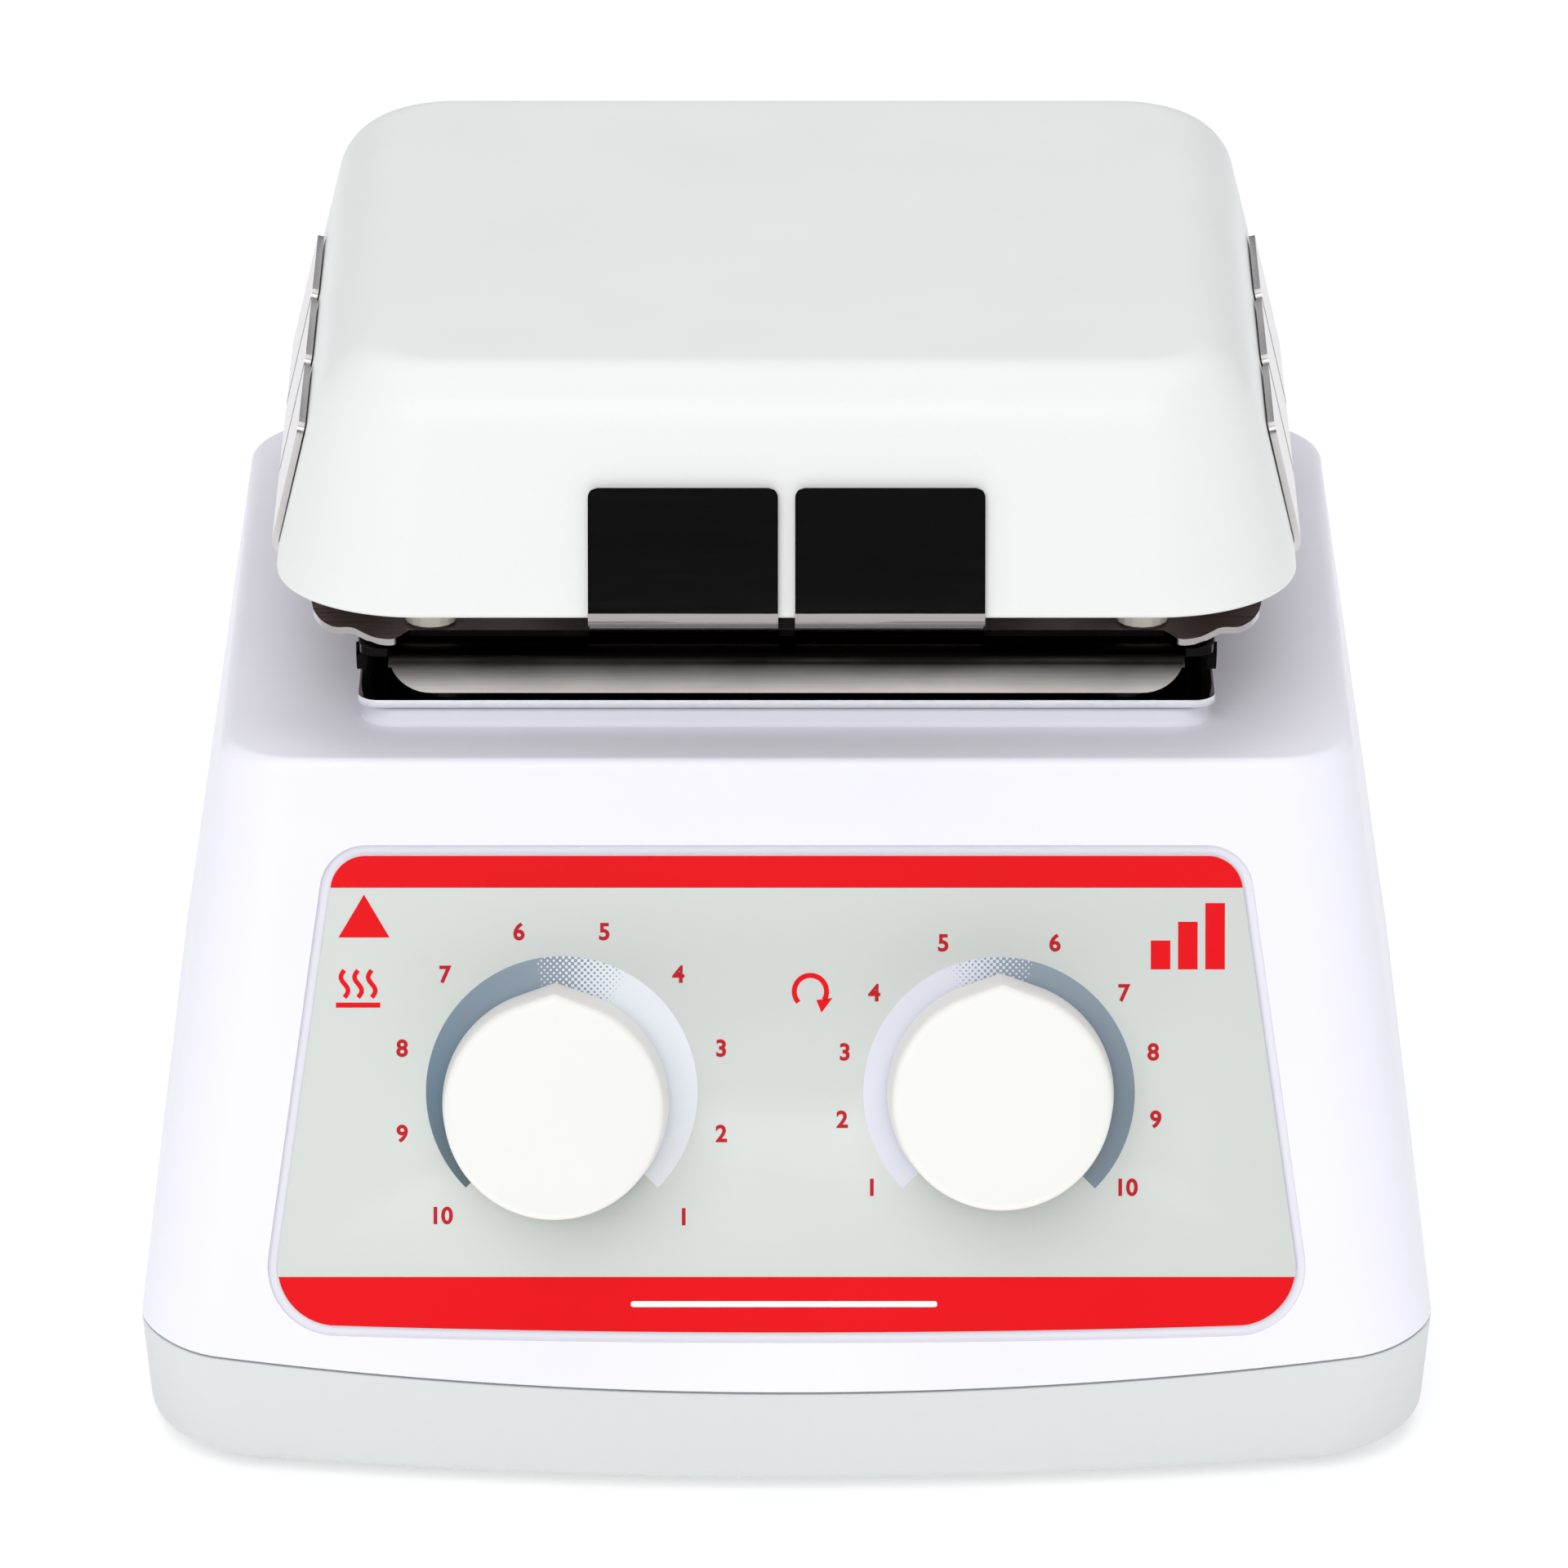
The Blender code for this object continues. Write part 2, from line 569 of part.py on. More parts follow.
def housing_outside():
    """Levels of the outer skin from the seam to the top of the raised pad."""
    lip = SIDE_SEAM_Z + GAP / 2
    shoulder = DECK_Z - DECK_EDGE_R
    rings = [
        body_ring(BASE_W / 2, FRONT_Y + SEAM_BOW, BACK_Y, CORNER_R, CORNER_R, lip, SEAM_BOW, SEAM_DIP),
        body_ring(side_x(PANEL_FLAT_Z), panel_y(PANEL_FLAT_Z), BACK_Y, CORNER_R, CORNER_R, PANEL_FLAT_Z),
    ]
    for turn in (0, 45, 90):  # the rounded edge of the deck
        inset = DECK_EDGE_R * (1 - math.cos(math.radians(turn)))
        height = shoulder + DECK_EDGE_R * math.sin(math.radians(turn))
        rings.append(body_ring(side_x(shoulder) - inset, panel_y(shoulder) + inset * 0.75, BACK_Y - inset,
                               DECK_R_FRONT, DECK_R_BACK, height))
    for grow, rise in ((0.3 * MM, 0.0), (0.0, PAD_H - 0.5 * MM), (-0.5 * MM, PAD_H)):
        half = PAD_W / 2 + grow
        rings.append(body_ring(half, AXIS_Y - half, AXIS_Y + half, PAD_CORNER_R, PAD_CORNER_R, DECK_Z + rise))
    return rings


def housing_inside():
    """The same levels moved in by the wall, from the ceiling down to the seam."""
    lip = SIDE_SEAM_Z + GAP / 2
    back = BACK_Y - WALL
    inner_r = CORNER_R - WALL
    return [
        body_ring(side_x(CEILING_Z, WALL), panel_y(CEILING_Z, WALL), back, DECK_R_FRONT - WALL,
                  DECK_R_BACK - WALL, CEILING_Z),
        body_ring(side_x(PANEL_FLAT_Z, WALL), panel_y(PANEL_FLAT_Z, WALL), back, inner_r, inner_r, PANEL_FLAT_Z),
        body_ring(BASE_W / 2 - WALL, FRONT_Y + SEAM_BOW + WALL, back, inner_r, inner_r, lip, SEAM_BOW, SEAM_DIP),
    ]


def upper_housing():
    housing = loft("upper_housing", housing_inside() + housing_outside(), HOUSING_WHITE)
    for i, place in enumerate(SCREW_PLACES):
        top = DECK_Z - MM if place[1] > 0 else FRONT_BOSS_TOP
        join(housing, upright(f"housing_boss_{i}", place, 4.0 * MM, BOSS_TOP + GAP, top, HOUSING_WHITE,
                              SMALL_ROUND))
        cut(housing, upright(f"housing_pilot_{i}", place, SCREW_R + GAP, BOSS_TOP - MM, FOOT + 21 * MM,
                             HOUSING_WHITE, HOLE))
    recess = flat_piece("overlay_recess", [overlay_outline(OVERLAY_MARGIN)], 4 * MM, HOUSING_WHITE, panel_frame,
                        Matrix.Translation(UP * -(OVERLAY_SINK + OVERLAY_T + GAP)))
    cut(housing, recess)
    for axis in (heat_axis, stir_axis):
        cut(housing, rod(f"{axis.name}_hole", BUSHING_R + GAP, -8 * MM, 4 * MM, HOUSING_WHITE, axis))
    above = DECK_Z + PAD_H + 2 * MM
    cut(housing, rod("deck_shaft_hole", MOTOR_NECK_R, CEILING_Z - MM, above, HOUSING_WHITE, rotor_axis))
    for i, place in enumerate(LEAD_PLACES):
        cut(housing, upright(f"deck_lead_hole_{i}", place, LEAD_HOLE_R, CEILING_Z - MM, above, HOUSING_WHITE, HOLE))
    cut(housing, box("inlet_cutout", INLET_BODY + Vector((1, 0, 1)) * MM, (INLET_X, BACK_Y, INLET_Z),
                     HOUSING_WHITE))
    for side in (-1, 1):
        cut(housing, rod(f"inlet_screw_hole_{side}", INLET_SCREW_R + 0.4 * MM, -4 * MM, 2 * MM, HOUSING_WHITE,
                         sides=HOLE, turn=rear_frame(INLET_X + side * INLET_SCREW_X, INLET_Z)))
    for row in range(REAR_VENTS):
        cut(housing, box(f"rear_vent_{row}", REAR_VENT,
                         (REAR_VENT_X, BACK_Y, REAR_VENT_Z + row * REAR_VENT_PITCH), HOUSING_WHITE))


# ---------------------------------------------------------------- control panel


def overlay_outline(margin=0.0):
    """The control panel's outline: a trapezium with rounded corners and a slightly curved lower edge."""
    low, high = OVERLAY_BOTTOM - margin, OVERLAY_TOP + margin
    lean = math.degrees(math.atan((OVERLAY_HALF_BOTTOM - OVERLAY_HALF_TOP) / (OVERLAY_TOP - OVERLAY_BOTTOM)))
    half_low, half_high = OVERLAY_HALF_BOTTOM + margin, OVERLAY_HALF_TOP + margin
    r_low, r_high = OVERLAY_R_BOTTOM + margin, OVERLAY_R_TOP + margin
    straight = half_low - r_low * 1.05
    lower = arc((straight, low + OVERLAY_SAG + r_low), r_low, -84, lean, 5)
    upper = arc((half_high - r_high, high - r_high), r_high, lean, 90, 4)
    right = lower + upper
    shares = (-0.75, -0.5, -0.25, 0.0, 0.25, 0.5, 0.75)
    bottom = [(straight * share, low + OVERLAY_SAG * share ** 2) for share in shares]
    return bottom + right + [(-x, y) for x, y in reversed(right)]


def control_overlay():
    holes = [circle(place.x, place.y, BUSHING_R + GAP) for place in (HEAT_KNOB, STIR_KNOB)]
    flat_piece("control_overlay", [overlay_outline(), *holes], OVERLAY_T, OVERLAY_GREY, panel_frame,
               Matrix.Translation(UP * -(OVERLAY_SINK + OVERLAY_T)))


def teardrop(radius, tip, height, steps=32):
    """A circle of this radius drawn out to a rounded point at +Y."""
    points = []
    touch = math.acos(radius / tip)
    for i in range(steps):
        away = abs((2 * math.pi * i / steps + math.pi) % (2 * math.pi) - math.pi)
        angle = math.pi / 2 + 2 * math.pi * i / steps
        reach = radius / math.cos(max(touch - away, 0.0))
        points.append(Vector((reach * math.cos(angle), reach * math.sin(angle), height)))
    return points


def knob(name, axis):
    low, top = 0.5 * MM, KNOB_TOP
    piece = loft(name, [
        teardrop(KNOB_R, KNOB_TIP, low),
        teardrop(KNOB_R, KNOB_TIP, low + 1.2 * MM),
        teardrop(KNOB_FACE_R + 0.15 * MM, KNOB_FACE_R + 0.75 * MM, top - 1.0 * MM),
        teardrop(KNOB_FACE_R - 0.15 * MM, KNOB_FACE_R + 0.25 * MM, top - 0.3 * MM),
        teardrop(KNOB_FACE_R - 1.0 * MM, KNOB_FACE_R - 0.8 * MM, top),
    ], KNOB_WHITE, axis)
    hub_r = SHAFT_R + 2.2 * MM
    cut(piece, turned(f"{name}_hollow", [
        (KNOB_R - 2.5 * MM, KNOB_HOLLOW), (KNOB_R - 2.5 * MM, -MM), (0.0, -MM), (0.0, 5.0 * MM),
        (hub_r, 5.0 * MM), (hub_r, KNOB_HOLLOW),
    ], KNOB_WHITE, axis, closed=True))
    cut(piece, rod(f"{name}_bore", SHAFT_R + GAP, 4 * MM, SHAFT_TOP + GAP, KNOB_WHITE, axis, sides=SMALL_ROUND))


def potentiometer(prefix, axis):
    """Body with its threaded bushing, the turning shaft, and the nut that holds it to the panel."""
    bore_end = POT_BACK - 6.0 * MM
    turned(f"{prefix}_pot_body", [
        (BUSHING_R, BUSHING_TOP), (BUSHING_R, POT_BACK), (POT_R, POT_BACK), (POT_R, POT_BACK - POT_DEPTH),
        (0.0, POT_BACK - POT_DEPTH), (0.0, bore_end), (SHAFT_R + GAP, bore_end), (SHAFT_R + GAP, BUSHING_TOP),
    ], STEEL, axis, closed=True)
    turned(f"{prefix}_pot_shaft", [
        (0.0, SHAFT_TOP), (SHAFT_R - 0.4 * MM, SHAFT_TOP), (SHAFT_R, SHAFT_TOP - 0.4 * MM),
        (SHAFT_R, bore_end + GAP), (0.0, bore_end + GAP),
    ], ALUMINIUM, axis, steps=SMALL_ROUND)
    flat_piece(f"{prefix}_pot_nut", [circle(0, 0, NUT_R, 6), circle(0, 0, BUSHING_R + GAP)], NUT_T, BRASS, axis,
               Matrix.Translation(UP * (GAP - OVERLAY_SINK)))


# ---------------------------------------------------------------- plate support sheets


def plate_holes(middle_radius, fixings):
    """Round holes about the stirring axis: the middle one, the fixings and the two heater leads."""
    holes = [circle(0, 0, middle_radius)]
    holes += [circle(x, y - AXIS_Y, FIXING_HOLE_R, HOLE) for x, y in fixings]
    holes += [circle(x, y - AXIS_Y, LEAD_HOLE_R, HOLE) for x, y in LEAD_PLACES]
    return holes


def at_height(z):
    return Matrix.Translation((0, AXIS_Y, z))


def reflector_plate():
    edge = rounded_rectangle(REFLECTOR_W / 2, REFLECTOR_W / 2, 2.6 * MM)
    flat_piece("reflector_plate", [edge, *plate_holes(7 * MM, POST_PLACES)], SHEET, STAINLESS,
               turn=at_height(DECK_Z + PAD_H + GAP))


def apron_outline(half, drop, radius):
    """A hanging strip, square at the top and rounded at its two lower corners."""
    return ([(half, 0.0), (-half, 0.0)] + arc((radius - half, radius - drop), radius, 180, 270, CORNER_STEPS)
            + arc((half - radius, radius - drop), radius, 270, 360, CORNER_STEPS))


def heat_shield_pan():
    edge = rounded_rectangle(PAN_HALF, PAN_HALF, 3.5 * MM)
    pan = flat_piece("heat_shield_pan", [edge, *plate_holes(7 * MM, POST_PLACES)], SHEET, STAINLESS,
                     turn=at_height(PAN_TOP - SHEET))
    start = PAN_TOP - 0.2 * MM
    for quarter in range(4):
        spin = Matrix.Rotation(math.radians(90 * quarter), 4, "Z")
        stand = Matrix.Translation((0, -PAN_HALF + SHEET, start)) @ Matrix.Rotation(math.pi / 2, 4, "X")
        outline = apron_outline(PAN_APRON_HALF, start - PAN_APRON_BOTTOM, PAN_APRON_R)
        join(pan, flat_piece(f"pan_apron_{quarter}", [outline], SHEET, STAINLESS,
                             turn=Matrix.Translation((0, AXIS_Y, 0)) @ spin @ stand))


def tray_outline():
    """A square tray with an ear at each corner."""
    front_right = [(x, -y) for x, y in TRAY_CORNER]
    front = [(-x, y) for x, y in reversed(front_right)] + front_right
    return front + [(-x, -y) for x, y in front]


def skirt_lean():
    """The angle of the ceramic skirt from upright."""
    run = (SKIRT_W - TOP_FLAT_W) / 2
    rise = TOP_Z - SKIRT_Z
    lean = 0.2
    for _ in range(30):
        lean = math.atan((run - TOP_EDGE_R * math.cos(lean)) / (rise - TOP_EDGE_R + TOP_EDGE_R * math.sin(lean)))
    return lean


def tab_profile(edge):
    """Side view of one clip tab: up from the tray's edge, out below the skirt, round its rim and up along it."""
    lean = skirt_lean()
    skirt = SKIRT_Z - TRAY_Z
    level = skirt - GAP - TRAY_T / 2
    bend = (SKIRT_W / 2 + GAP + TRAY_T / 2 - TAB_BEND_R, level + TAB_BEND_R)
    path = [(edge - 2.0 * MM, TRAY_T / 2), (edge + 0.4 * MM, TRAY_T / 2), (edge + 1.6 * MM, level)]
    path += arc(bend, TAB_BEND_R, -90, math.degrees(lean), 3)
    path = [Vector(point) for point in path]
    path.append(path[-1] + Vector((-math.sin(lean), math.cos(lean))) * TAB_H)
    inner, outer = [], []
    for i, point in enumerate(path):
        before = (point - path[max(i - 1, 0)]).normalized()
        after = (path[min(i + 1, len(path) - 1)] - point).normalized()
        along = (before + after).normalized()
        reach = TRAY_T / 2 / max(along.dot(after if i == 0 else before), 0.5)
        across = Vector((-along.y, along.x)) * reach
        inner.append(tuple(point + across))
        outer.append(tuple(point - across))
    return inner + outer[::-1]


def round_tab_top(mesh):
    """Rounds the two free corners of a clip tab."""
    shape = bmesh.new()
    shape.from_mesh(mesh)
    high = max(vert.co.z for vert in shape.verts)
    across = [edge for edge in shape.edges
              if min(vert.co.z for vert in edge.verts) > high - 0.5 * MM
              and abs(edge.verts[0].co.y - edge.verts[1].co.y) < 0.1 * MM]
    bmesh.ops.bevel(shape, geom=across, offset=TAB_CORNER_R, segments=2, affect="EDGES", clamp_overlap=True)
    shape.to_mesh(mesh)
    shape.free()


def clip_tray():
    tray = flat_piece("clip_tray", [tray_outline(), *plate_holes(9 * MM, SPACER_PLACES + POST_PLACES)], TRAY_T,
                      STAINLESS, turn=at_height(TRAY_Z))
    side_view = Matrix(((1, 0, 0), (0, 0, 1), (0, 1, 0))).to_4x4()  # the profile's plane turned upright
    for quarter in range(4):
        # Two tabs in front and behind, three on each side.
        count, edge = (2, TRAY_FRONT) if quarter in (1, 3) else (3, TRAY_SIDE)
        spin = Matrix.Rotation(math.radians(90 * quarter), 4, "Z")
        for i in range(count):
            aside = (i - (count - 1) / 2) * TAB_PITCH - TAB_W / 2
            tab = flat_piece(f"tab_{quarter}_{i}", [tab_profile(edge)], TAB_W, STAINLESS)
            tab.data.transform(side_view)
            tab.data.flip_normals()
            round_tab_top(tab.data)
            tab.matrix_local = at_height(TRAY_Z) @ spin @ Matrix.Translation((0, aside, 0))
            join(tray, tab)


def posts_and_spacers():
    """Screws that hold pan and reflector to the deck, and the ceramic spacers under the heater plate."""
    low = DECK_Z + PAD_H + 2 * GAP + SHEET
    for (x, y), name in zip(POST_PLACES, CORNERS):
        post = turned(f"standoff_{name}", ring_profile(POST_BORE_R, POST_R, low, PAN_TOP - SHEET - GAP), STEEL,
                      steps=SMALL_ROUND, closed=True)
        post.location = (x, y, 0)
    seat = TRAY_Z + TRAY_T + GAP
    for (x, y), name in zip(SPACER_PLACES, CORNERS):
        spacer = turned(f"ceramic_spacer_{name}", [
            (0.0, RETAINER_Z - GAP), (SPACER_R, RETAINER_Z - GAP), (SPACER_R, seat), (SPACER_PEG_R, seat),
            (SPACER_PEG_R, TRAY_Z + GAP), (0.0, TRAY_Z + GAP),
        ], STEATITE, steps=SMALL_ROUND)
        spacer.location = (x, y, 0)


# ---------------------------------------------------------------- ceramic top and heater


def top_ring(half, radius, height):
    return [Vector((x, y + AXIS_Y, height)) for x, y in rounded_rectangle(half, half, radius, steps=6)]


def shoulder_rings(inset, steps):
    """Levels of the ceramic top's rounded edge, moved in by a wall thickness, from the skirt up to the flat."""
    lean = skirt_lean()
    edge_r = TOP_EDGE_R - inset
    skirt_r = SKIRT_CORNER_R - 3.5 * MM
    rings = []
    for i in range(steps + 1):
        turn = lean + (math.pi / 2 - lean) * i / steps
        share = math.cos(turn) / math.cos(lean)
        radius = FLAT_CORNER_R + (skirt_r - FLAT_CORNER_R) * share - inset * 0.7
        rings.append(top_ring(TOP_FLAT_W / 2 + edge_r * math.cos(turn), radius,
                              TOP_Z - inset - edge_r + edge_r * math.sin(turn)))
    return rings


def ceramic_top():
    half = SKIRT_W / 2
    inner_half = half - CERAMIC_T / math.cos(skirt_lean())
    inside = [top_ring(inner_half, SKIRT_CORNER_R - CERAMIC_T * 0.7, SKIRT_Z)] + shoulder_rings(CERAMIC_T, 3)
    rim = [
        top_ring(half - SKIRT_EDGE, SKIRT_CORNER_R - SKIRT_EDGE, SKIRT_Z),
        top_ring(half, SKIRT_CORNER_R, SKIRT_Z + SKIRT_EDGE),
    ]
    loft("ceramic_top", inside[::-1] + rim + shoulder_rings(0.0, 6), CERAMIC)


def heater_stack():
    leads = [circle(x, y - AXIS_Y, LEAD_HOLE_R, HOLE) for x, y in LEAD_PLACES]
    holes = [*leads, circle(PROBE_X, 0.0, PROBE_R + 0.4 * MM, HOLE)]
    flat_piece("heating_element", [rounded_rectangle(43.5 * MM, 43.5 * MM, 5 * MM)], HEATER_T, MICA,
               turn=at_height(HEATER_Z))
    pad_z = RETAINER_Z + SHEET + GAP
    flat_piece("insulation_pad", [rounded_rectangle(45 * MM, 45 * MM, 6 * MM), *holes], HEATER_Z - GAP - pad_z,
               FIBRE, turn=at_height(pad_z))
    flat_piece("heater_retainer_plate", [rounded_rectangle(48.5 * MM, 48.5 * MM, 8 * MM), *holes], SHEET,
               ALUMINIUM, turn=at_height(RETAINER_Z))
    probe_low, probe_top = RETAINER_Z - 6 * MM, HEATER_Z - GAP
    probe = turned("temperature_probe", [
        (0.0, probe_top), (PROBE_R - 0.4 * MM, probe_top - 0.5 * MM), (PROBE_R, probe_top - 2 * MM),
        (PROBE_R, probe_low), (0.0, probe_low),
    ], STEEL, steps=SMALL_ROUND)
    probe.location = (PROBE_X, AXIS_Y, 0)


def heater_leads():
    landing = TERMINAL.z + TERMINAL_SIZE.z / 2 + GAP
    for (x, y), name in zip(LEAD_PLACES, ("left", "right")):
        aside = math.copysign(MM, x)
        end = Vector((TERMINAL.x + 5 * aside, TERMINAL.y, landing))
        wire(f"heater_lead_{name}", [
            Vector((x, y, HEATER_Z - GAP)), Vector((x, y, HEATER_Z - 14 * MM)), Vector((x, y, DECK_Z + 2 * MM)),
            Vector((x, y, DECK_Z - 8 * MM)), Vector((x + aside, y + MM, DECK_Z - 30 * MM)),
            Vector((x - 4 * aside, y - 6 * MM, landing + 16 * MM)), end + UP * 9 * MM, end,
        ], LEAD_R, LEAD_SLEEVE)


# ---------------------------------------------------------------- stirring drive


def motor():
    for side, name in ((-1, "left"), (1, "right")):
        grommet = turned(f"motor_grommet_{name}",
                         ring_profile(1.6 * MM, 4.0 * MM, BRACKET_TOP + GAP, CEILING_Z - GAP), RUBBER,
                         steps=SMALL_ROUND, closed=True)
        grommet.location = (side * GROMMET_X, AXIS_Y, 0)
    holes = [circle(0, 0, MOTOR_NECK_R + 0.5 * MM)]
    holes += [circle(side * GROMMET_X, 0, FIXING_HOLE_R, HOLE) for side in (-1, 1)]
    flat_piece("motor_bracket", [rounded_rectangle(32 * MM, 15 * MM, 5 * MM), *holes], BRACKET_T, STEEL,
               turn=at_height(BRACKET_TOP - BRACKET_T))
    low = MOTOR_TOP - MOTOR_H
    bore_low = low + 4 * MM
    seat = MOTOR_NECK - 4 * MM
    turned("motor_can", [
        (MOTOR_NECK_R - GAP, MOTOR_NECK), (MOTOR_NECK_R - GAP, MOTOR_TOP), (MOTOR_R - MM, MOTOR_TOP),
        (MOTOR_R, MOTOR_TOP - MM), (MOTOR_R, low + MM), (MOTOR_R - MM, low), (0.0, low), (0.0, bore_low),
        (MOTOR_SHAFT_R + MM, bore_low), (MOTOR_SHAFT_R + MM, seat), (BEARING_R + GAP, seat),
        (BEARING_R + GAP, MOTOR_NECK),
    ], STEEL, rotor_axis, closed=True)
    turned("motor_bearing", ring_profile(MOTOR_SHAFT_R + GAP, BEARING_R, seat + GAP, MOTOR_NECK), BRASS, rotor_axis,
           steps=SMALL_ROUND, closed=True)
    shaft_top = YOKE_Z + 1.6 * MM
    turned("motor_shaft", [
        (0.0, shaft_top), (MOTOR_SHAFT_R, shaft_top), (MOTOR_SHAFT_R, bore_low + GAP), (0.0, bore_low + GAP),
    ], STEEL, rotor_axis, steps=SMALL_ROUND)


def magnet_rotor():
    yoke = box("magnet_yoke", Vector((YOKE_L, YOKE_W, YOKE_T)), (0, 0, YOKE_Z + YOKE_T / 2), STEEL, rotor_axis,
               edge=0.3 * MM)
    join(yoke, rod("yoke_hub", YOKE_HUB_R, YOKE_Z - 5 * MM, YOKE_Z + MM, STEEL, rotor_axis))
    cut(yoke, rod("yoke_bore", MOTOR_SHAFT_R + GAP, YOKE_Z - 6 * MM, YOKE_Z + 1.9 * MM, STEEL, rotor_axis,
                  sides=SMALL_ROUND))
    for side, name in ((-1, "north"), (1, "south")):
        place = (side * (YOKE_L - MAGNET.x) / 2, 0, YOKE_Z + YOKE_T + GAP + MAGNET.z / 2)
        box(f"magnet_{name}", MAGNET, place, MAGNET_BLACK, rotor_axis, edge=0.5 * MM)


# ---------------------------------------------------------------- control electronics


def electronics():
    holes = [circle(x, y - BOARD_Y, 1.6 * MM, HOLE) for x, y in BOARD_POSTS]
    flat_piece("control_board", [rounded_rectangle(*BOARD_HALF, 2 * MM), *holes], BOARD_T, BOARD_GREEN,
               turn=Matrix.Translation((0, BOARD_Y, BOARD_Z)))
    core = box("transformer_core", Vector((32, 27, 18)) * MM, TRANSFORMER, STEEL, edge=0.5 * MM)
    cut(core, box("transformer_window", Vector((22.6, 40, 12.6)) * MM, TRANSFORMER, STEEL))
    box("transformer_coil", Vector((22, 26, 12)) * MM, TRANSFORMER, COPPER, edge=1.2 * MM)
    box("relay", Vector((19, 15.5, 15)) * MM, RELAY, BLACK_PLASTIC, edge=0.4 * MM)
    box("terminal_block", TERMINAL_SIZE, TERMINAL, BOARD_GREEN, edge=0.4 * MM)
    capacitor_top = BOARD_TOP + 16 * MM
    capacitor = turned("filter_capacitor", [
        (0.0, capacitor_top), (5.2 * MM, capacitor_top), (5.5 * MM, capacitor_top - 0.4 * MM),
        (5.5 * MM, BOARD_TOP), (0.0, BOARD_TOP),
    ], BLACK_PLASTIC)
    capacitor.location = (3 * MM, BOARD_Y + 4 * MM, 0)
    sink = box("triac_heatsink", Vector((26, 12, 24)) * MM, HEATSINK, ALUMINIUM)
    for i in range(4):
        aside = Vector(((i - 1.5) * HEATSINK_PITCH, 3 * MM, 0))
        cut(sink, box(f"heatsink_slot_{i}", Vector((3, 9, 30)) * MM, HEATSINK + aside, ALUMINIUM))


# ---------------------------------------------------------------- rear inlet and fuse drawer


def rear_frame(x, z):
    """A frame on the rear wall whose own Z points out of the back."""
    return Matrix.Translation((x, BACK_Y, z)) @ Matrix.Rotation(-math.pi / 2, 4, "X")


def pocket(name, size, x, z):
    """A cutter for a hollow that opens at the inlet's face."""
    reach = 4 * MM
    y = BACK_Y + INLET_FACE + (reach - size.y) / 2
    return box(name, size + Vector((0, reach, 0)), (x, y, z), BLACK_PLASTIC)


def power_inlet():
    face_y = BACK_Y + INLET_FACE
    plate = box("power_inlet", INLET_PLATE, (INLET_X, face_y - INLET_PLATE.y / 2, INLET_Z), BLACK_PLASTIC,
                edge=0.8 * MM)
    join(plate, box("inlet_body", INLET_BODY, (INLET_X, face_y - MM - INLET_BODY.y / 2, INLET_Z), BLACK_PLASTIC))
    socket_z = INLET_Z + SOCKET_UP
    cut(plate, pocket("inlet_socket", SOCKET, INLET_X, socket_z))
    cut(plate, pocket("drawer_pocket", DRAWER + Vector((0.6, 0.5, 0.6)) * MM, INLET_X, INLET_Z - DRAWER_DOWN))
    pin_y = face_y - SOCKET.y - MM + INLET_PIN.y / 2
    for i, (x, z) in enumerate(INLET_PIN_PLACES):
        join(plate, box(f"inlet_pin_{i}", INLET_PIN, (INLET_X + x, pin_y, socket_z + z), BRASS))
    head = INLET_FACE + GAP
    top = head + 1.4 * MM
    for side, name in ((-1, "left"), (1, "right")):
        place = rear_frame(INLET_X + side * INLET_SCREW_X, INLET_Z)
        cut(plate, rod(f"inlet_plate_hole_{name}", INLET_SCREW_R + 0.4 * MM, -MM, 6 * MM, STEEL, sides=HOLE,
                       turn=place))
        screw = turned(f"inlet_screw_{name}", [
            (0.0, top), (1.8 * MM, top - 0.1 * MM), (2.9 * MM, head + 0.6 * MM), (2.9 * MM, head),
            (INLET_SCREW_R, head), (INLET_SCREW_R, -6 * MM), (0.0, -6 * MM),
        ], STEEL, steps=SMALL_ROUND)
        screw.matrix_local = place
        cut(screw, box(f"inlet_screw_slot_{name}", Vector((4.4, 1.6, 0.8)) * MM,
                       (INLET_X + side * INLET_SCREW_X, BACK_Y + top, INLET_Z), STEEL))


def fuse_drawer():
    """The drawer below the socket slides straight out of the back with its fuses."""
    drawer = box("fuse_drawer", DRAWER, (0, INLET_FACE - DRAWER.y / 2, 0), BLACK_PLASTIC, drawer_axis,
                 edge=0.3 * MM)
    join(drawer, box("drawer_lip", Vector((DRAWER.x, 1.2 * MM, DRAWER.z)), (0, INLET_FACE + 0.3 * MM, 0),
                     BLACK_PLASTIC, drawer_axis))
    cut(drawer, box("drawer_notch", Vector((9, 2.0, 2.2)) * MM, (0, INLET_FACE + 0.6 * MM, -2.9 * MM),
                    BLACK_PLASTIC, drawer_axis))
    floor = MM - DRAWER.z / 2
    bed_size = Vector((FUSE_L + MM, 2 * FUSE_R + 0.8 * MM, 8 * MM))
    cap = FUSE_L / 2
    cap_end = cap - 5 * MM
    glass_r = FUSE_R - 0.25 * MM
    for i, name in enumerate(("live", "spare")):
        y = INLET_FACE - 5.2 * MM - FUSE_PITCH * i
        cut(drawer, box(f"fuse_bed_{name}", bed_size, (0, y, floor + bed_size.z / 2), BLACK_PLASTIC, drawer_axis))
        fuse = turned(f"fuse_{name}", [
            (0.0, cap), (FUSE_R, cap), (FUSE_R, cap_end), (glass_r, cap_end), (glass_r, -cap_end),
            (FUSE_R, -cap_end), (FUSE_R, -cap), (0.0, -cap),
        ], GLASS, drawer_axis, steps=HOLE)
        fuse.matrix_local = Matrix.Translation((0, y, floor + GAP + FUSE_R)) @ Matrix.Rotation(math.pi / 2, 4, "Y")


# ---------------------------------------------------------------- the whole object

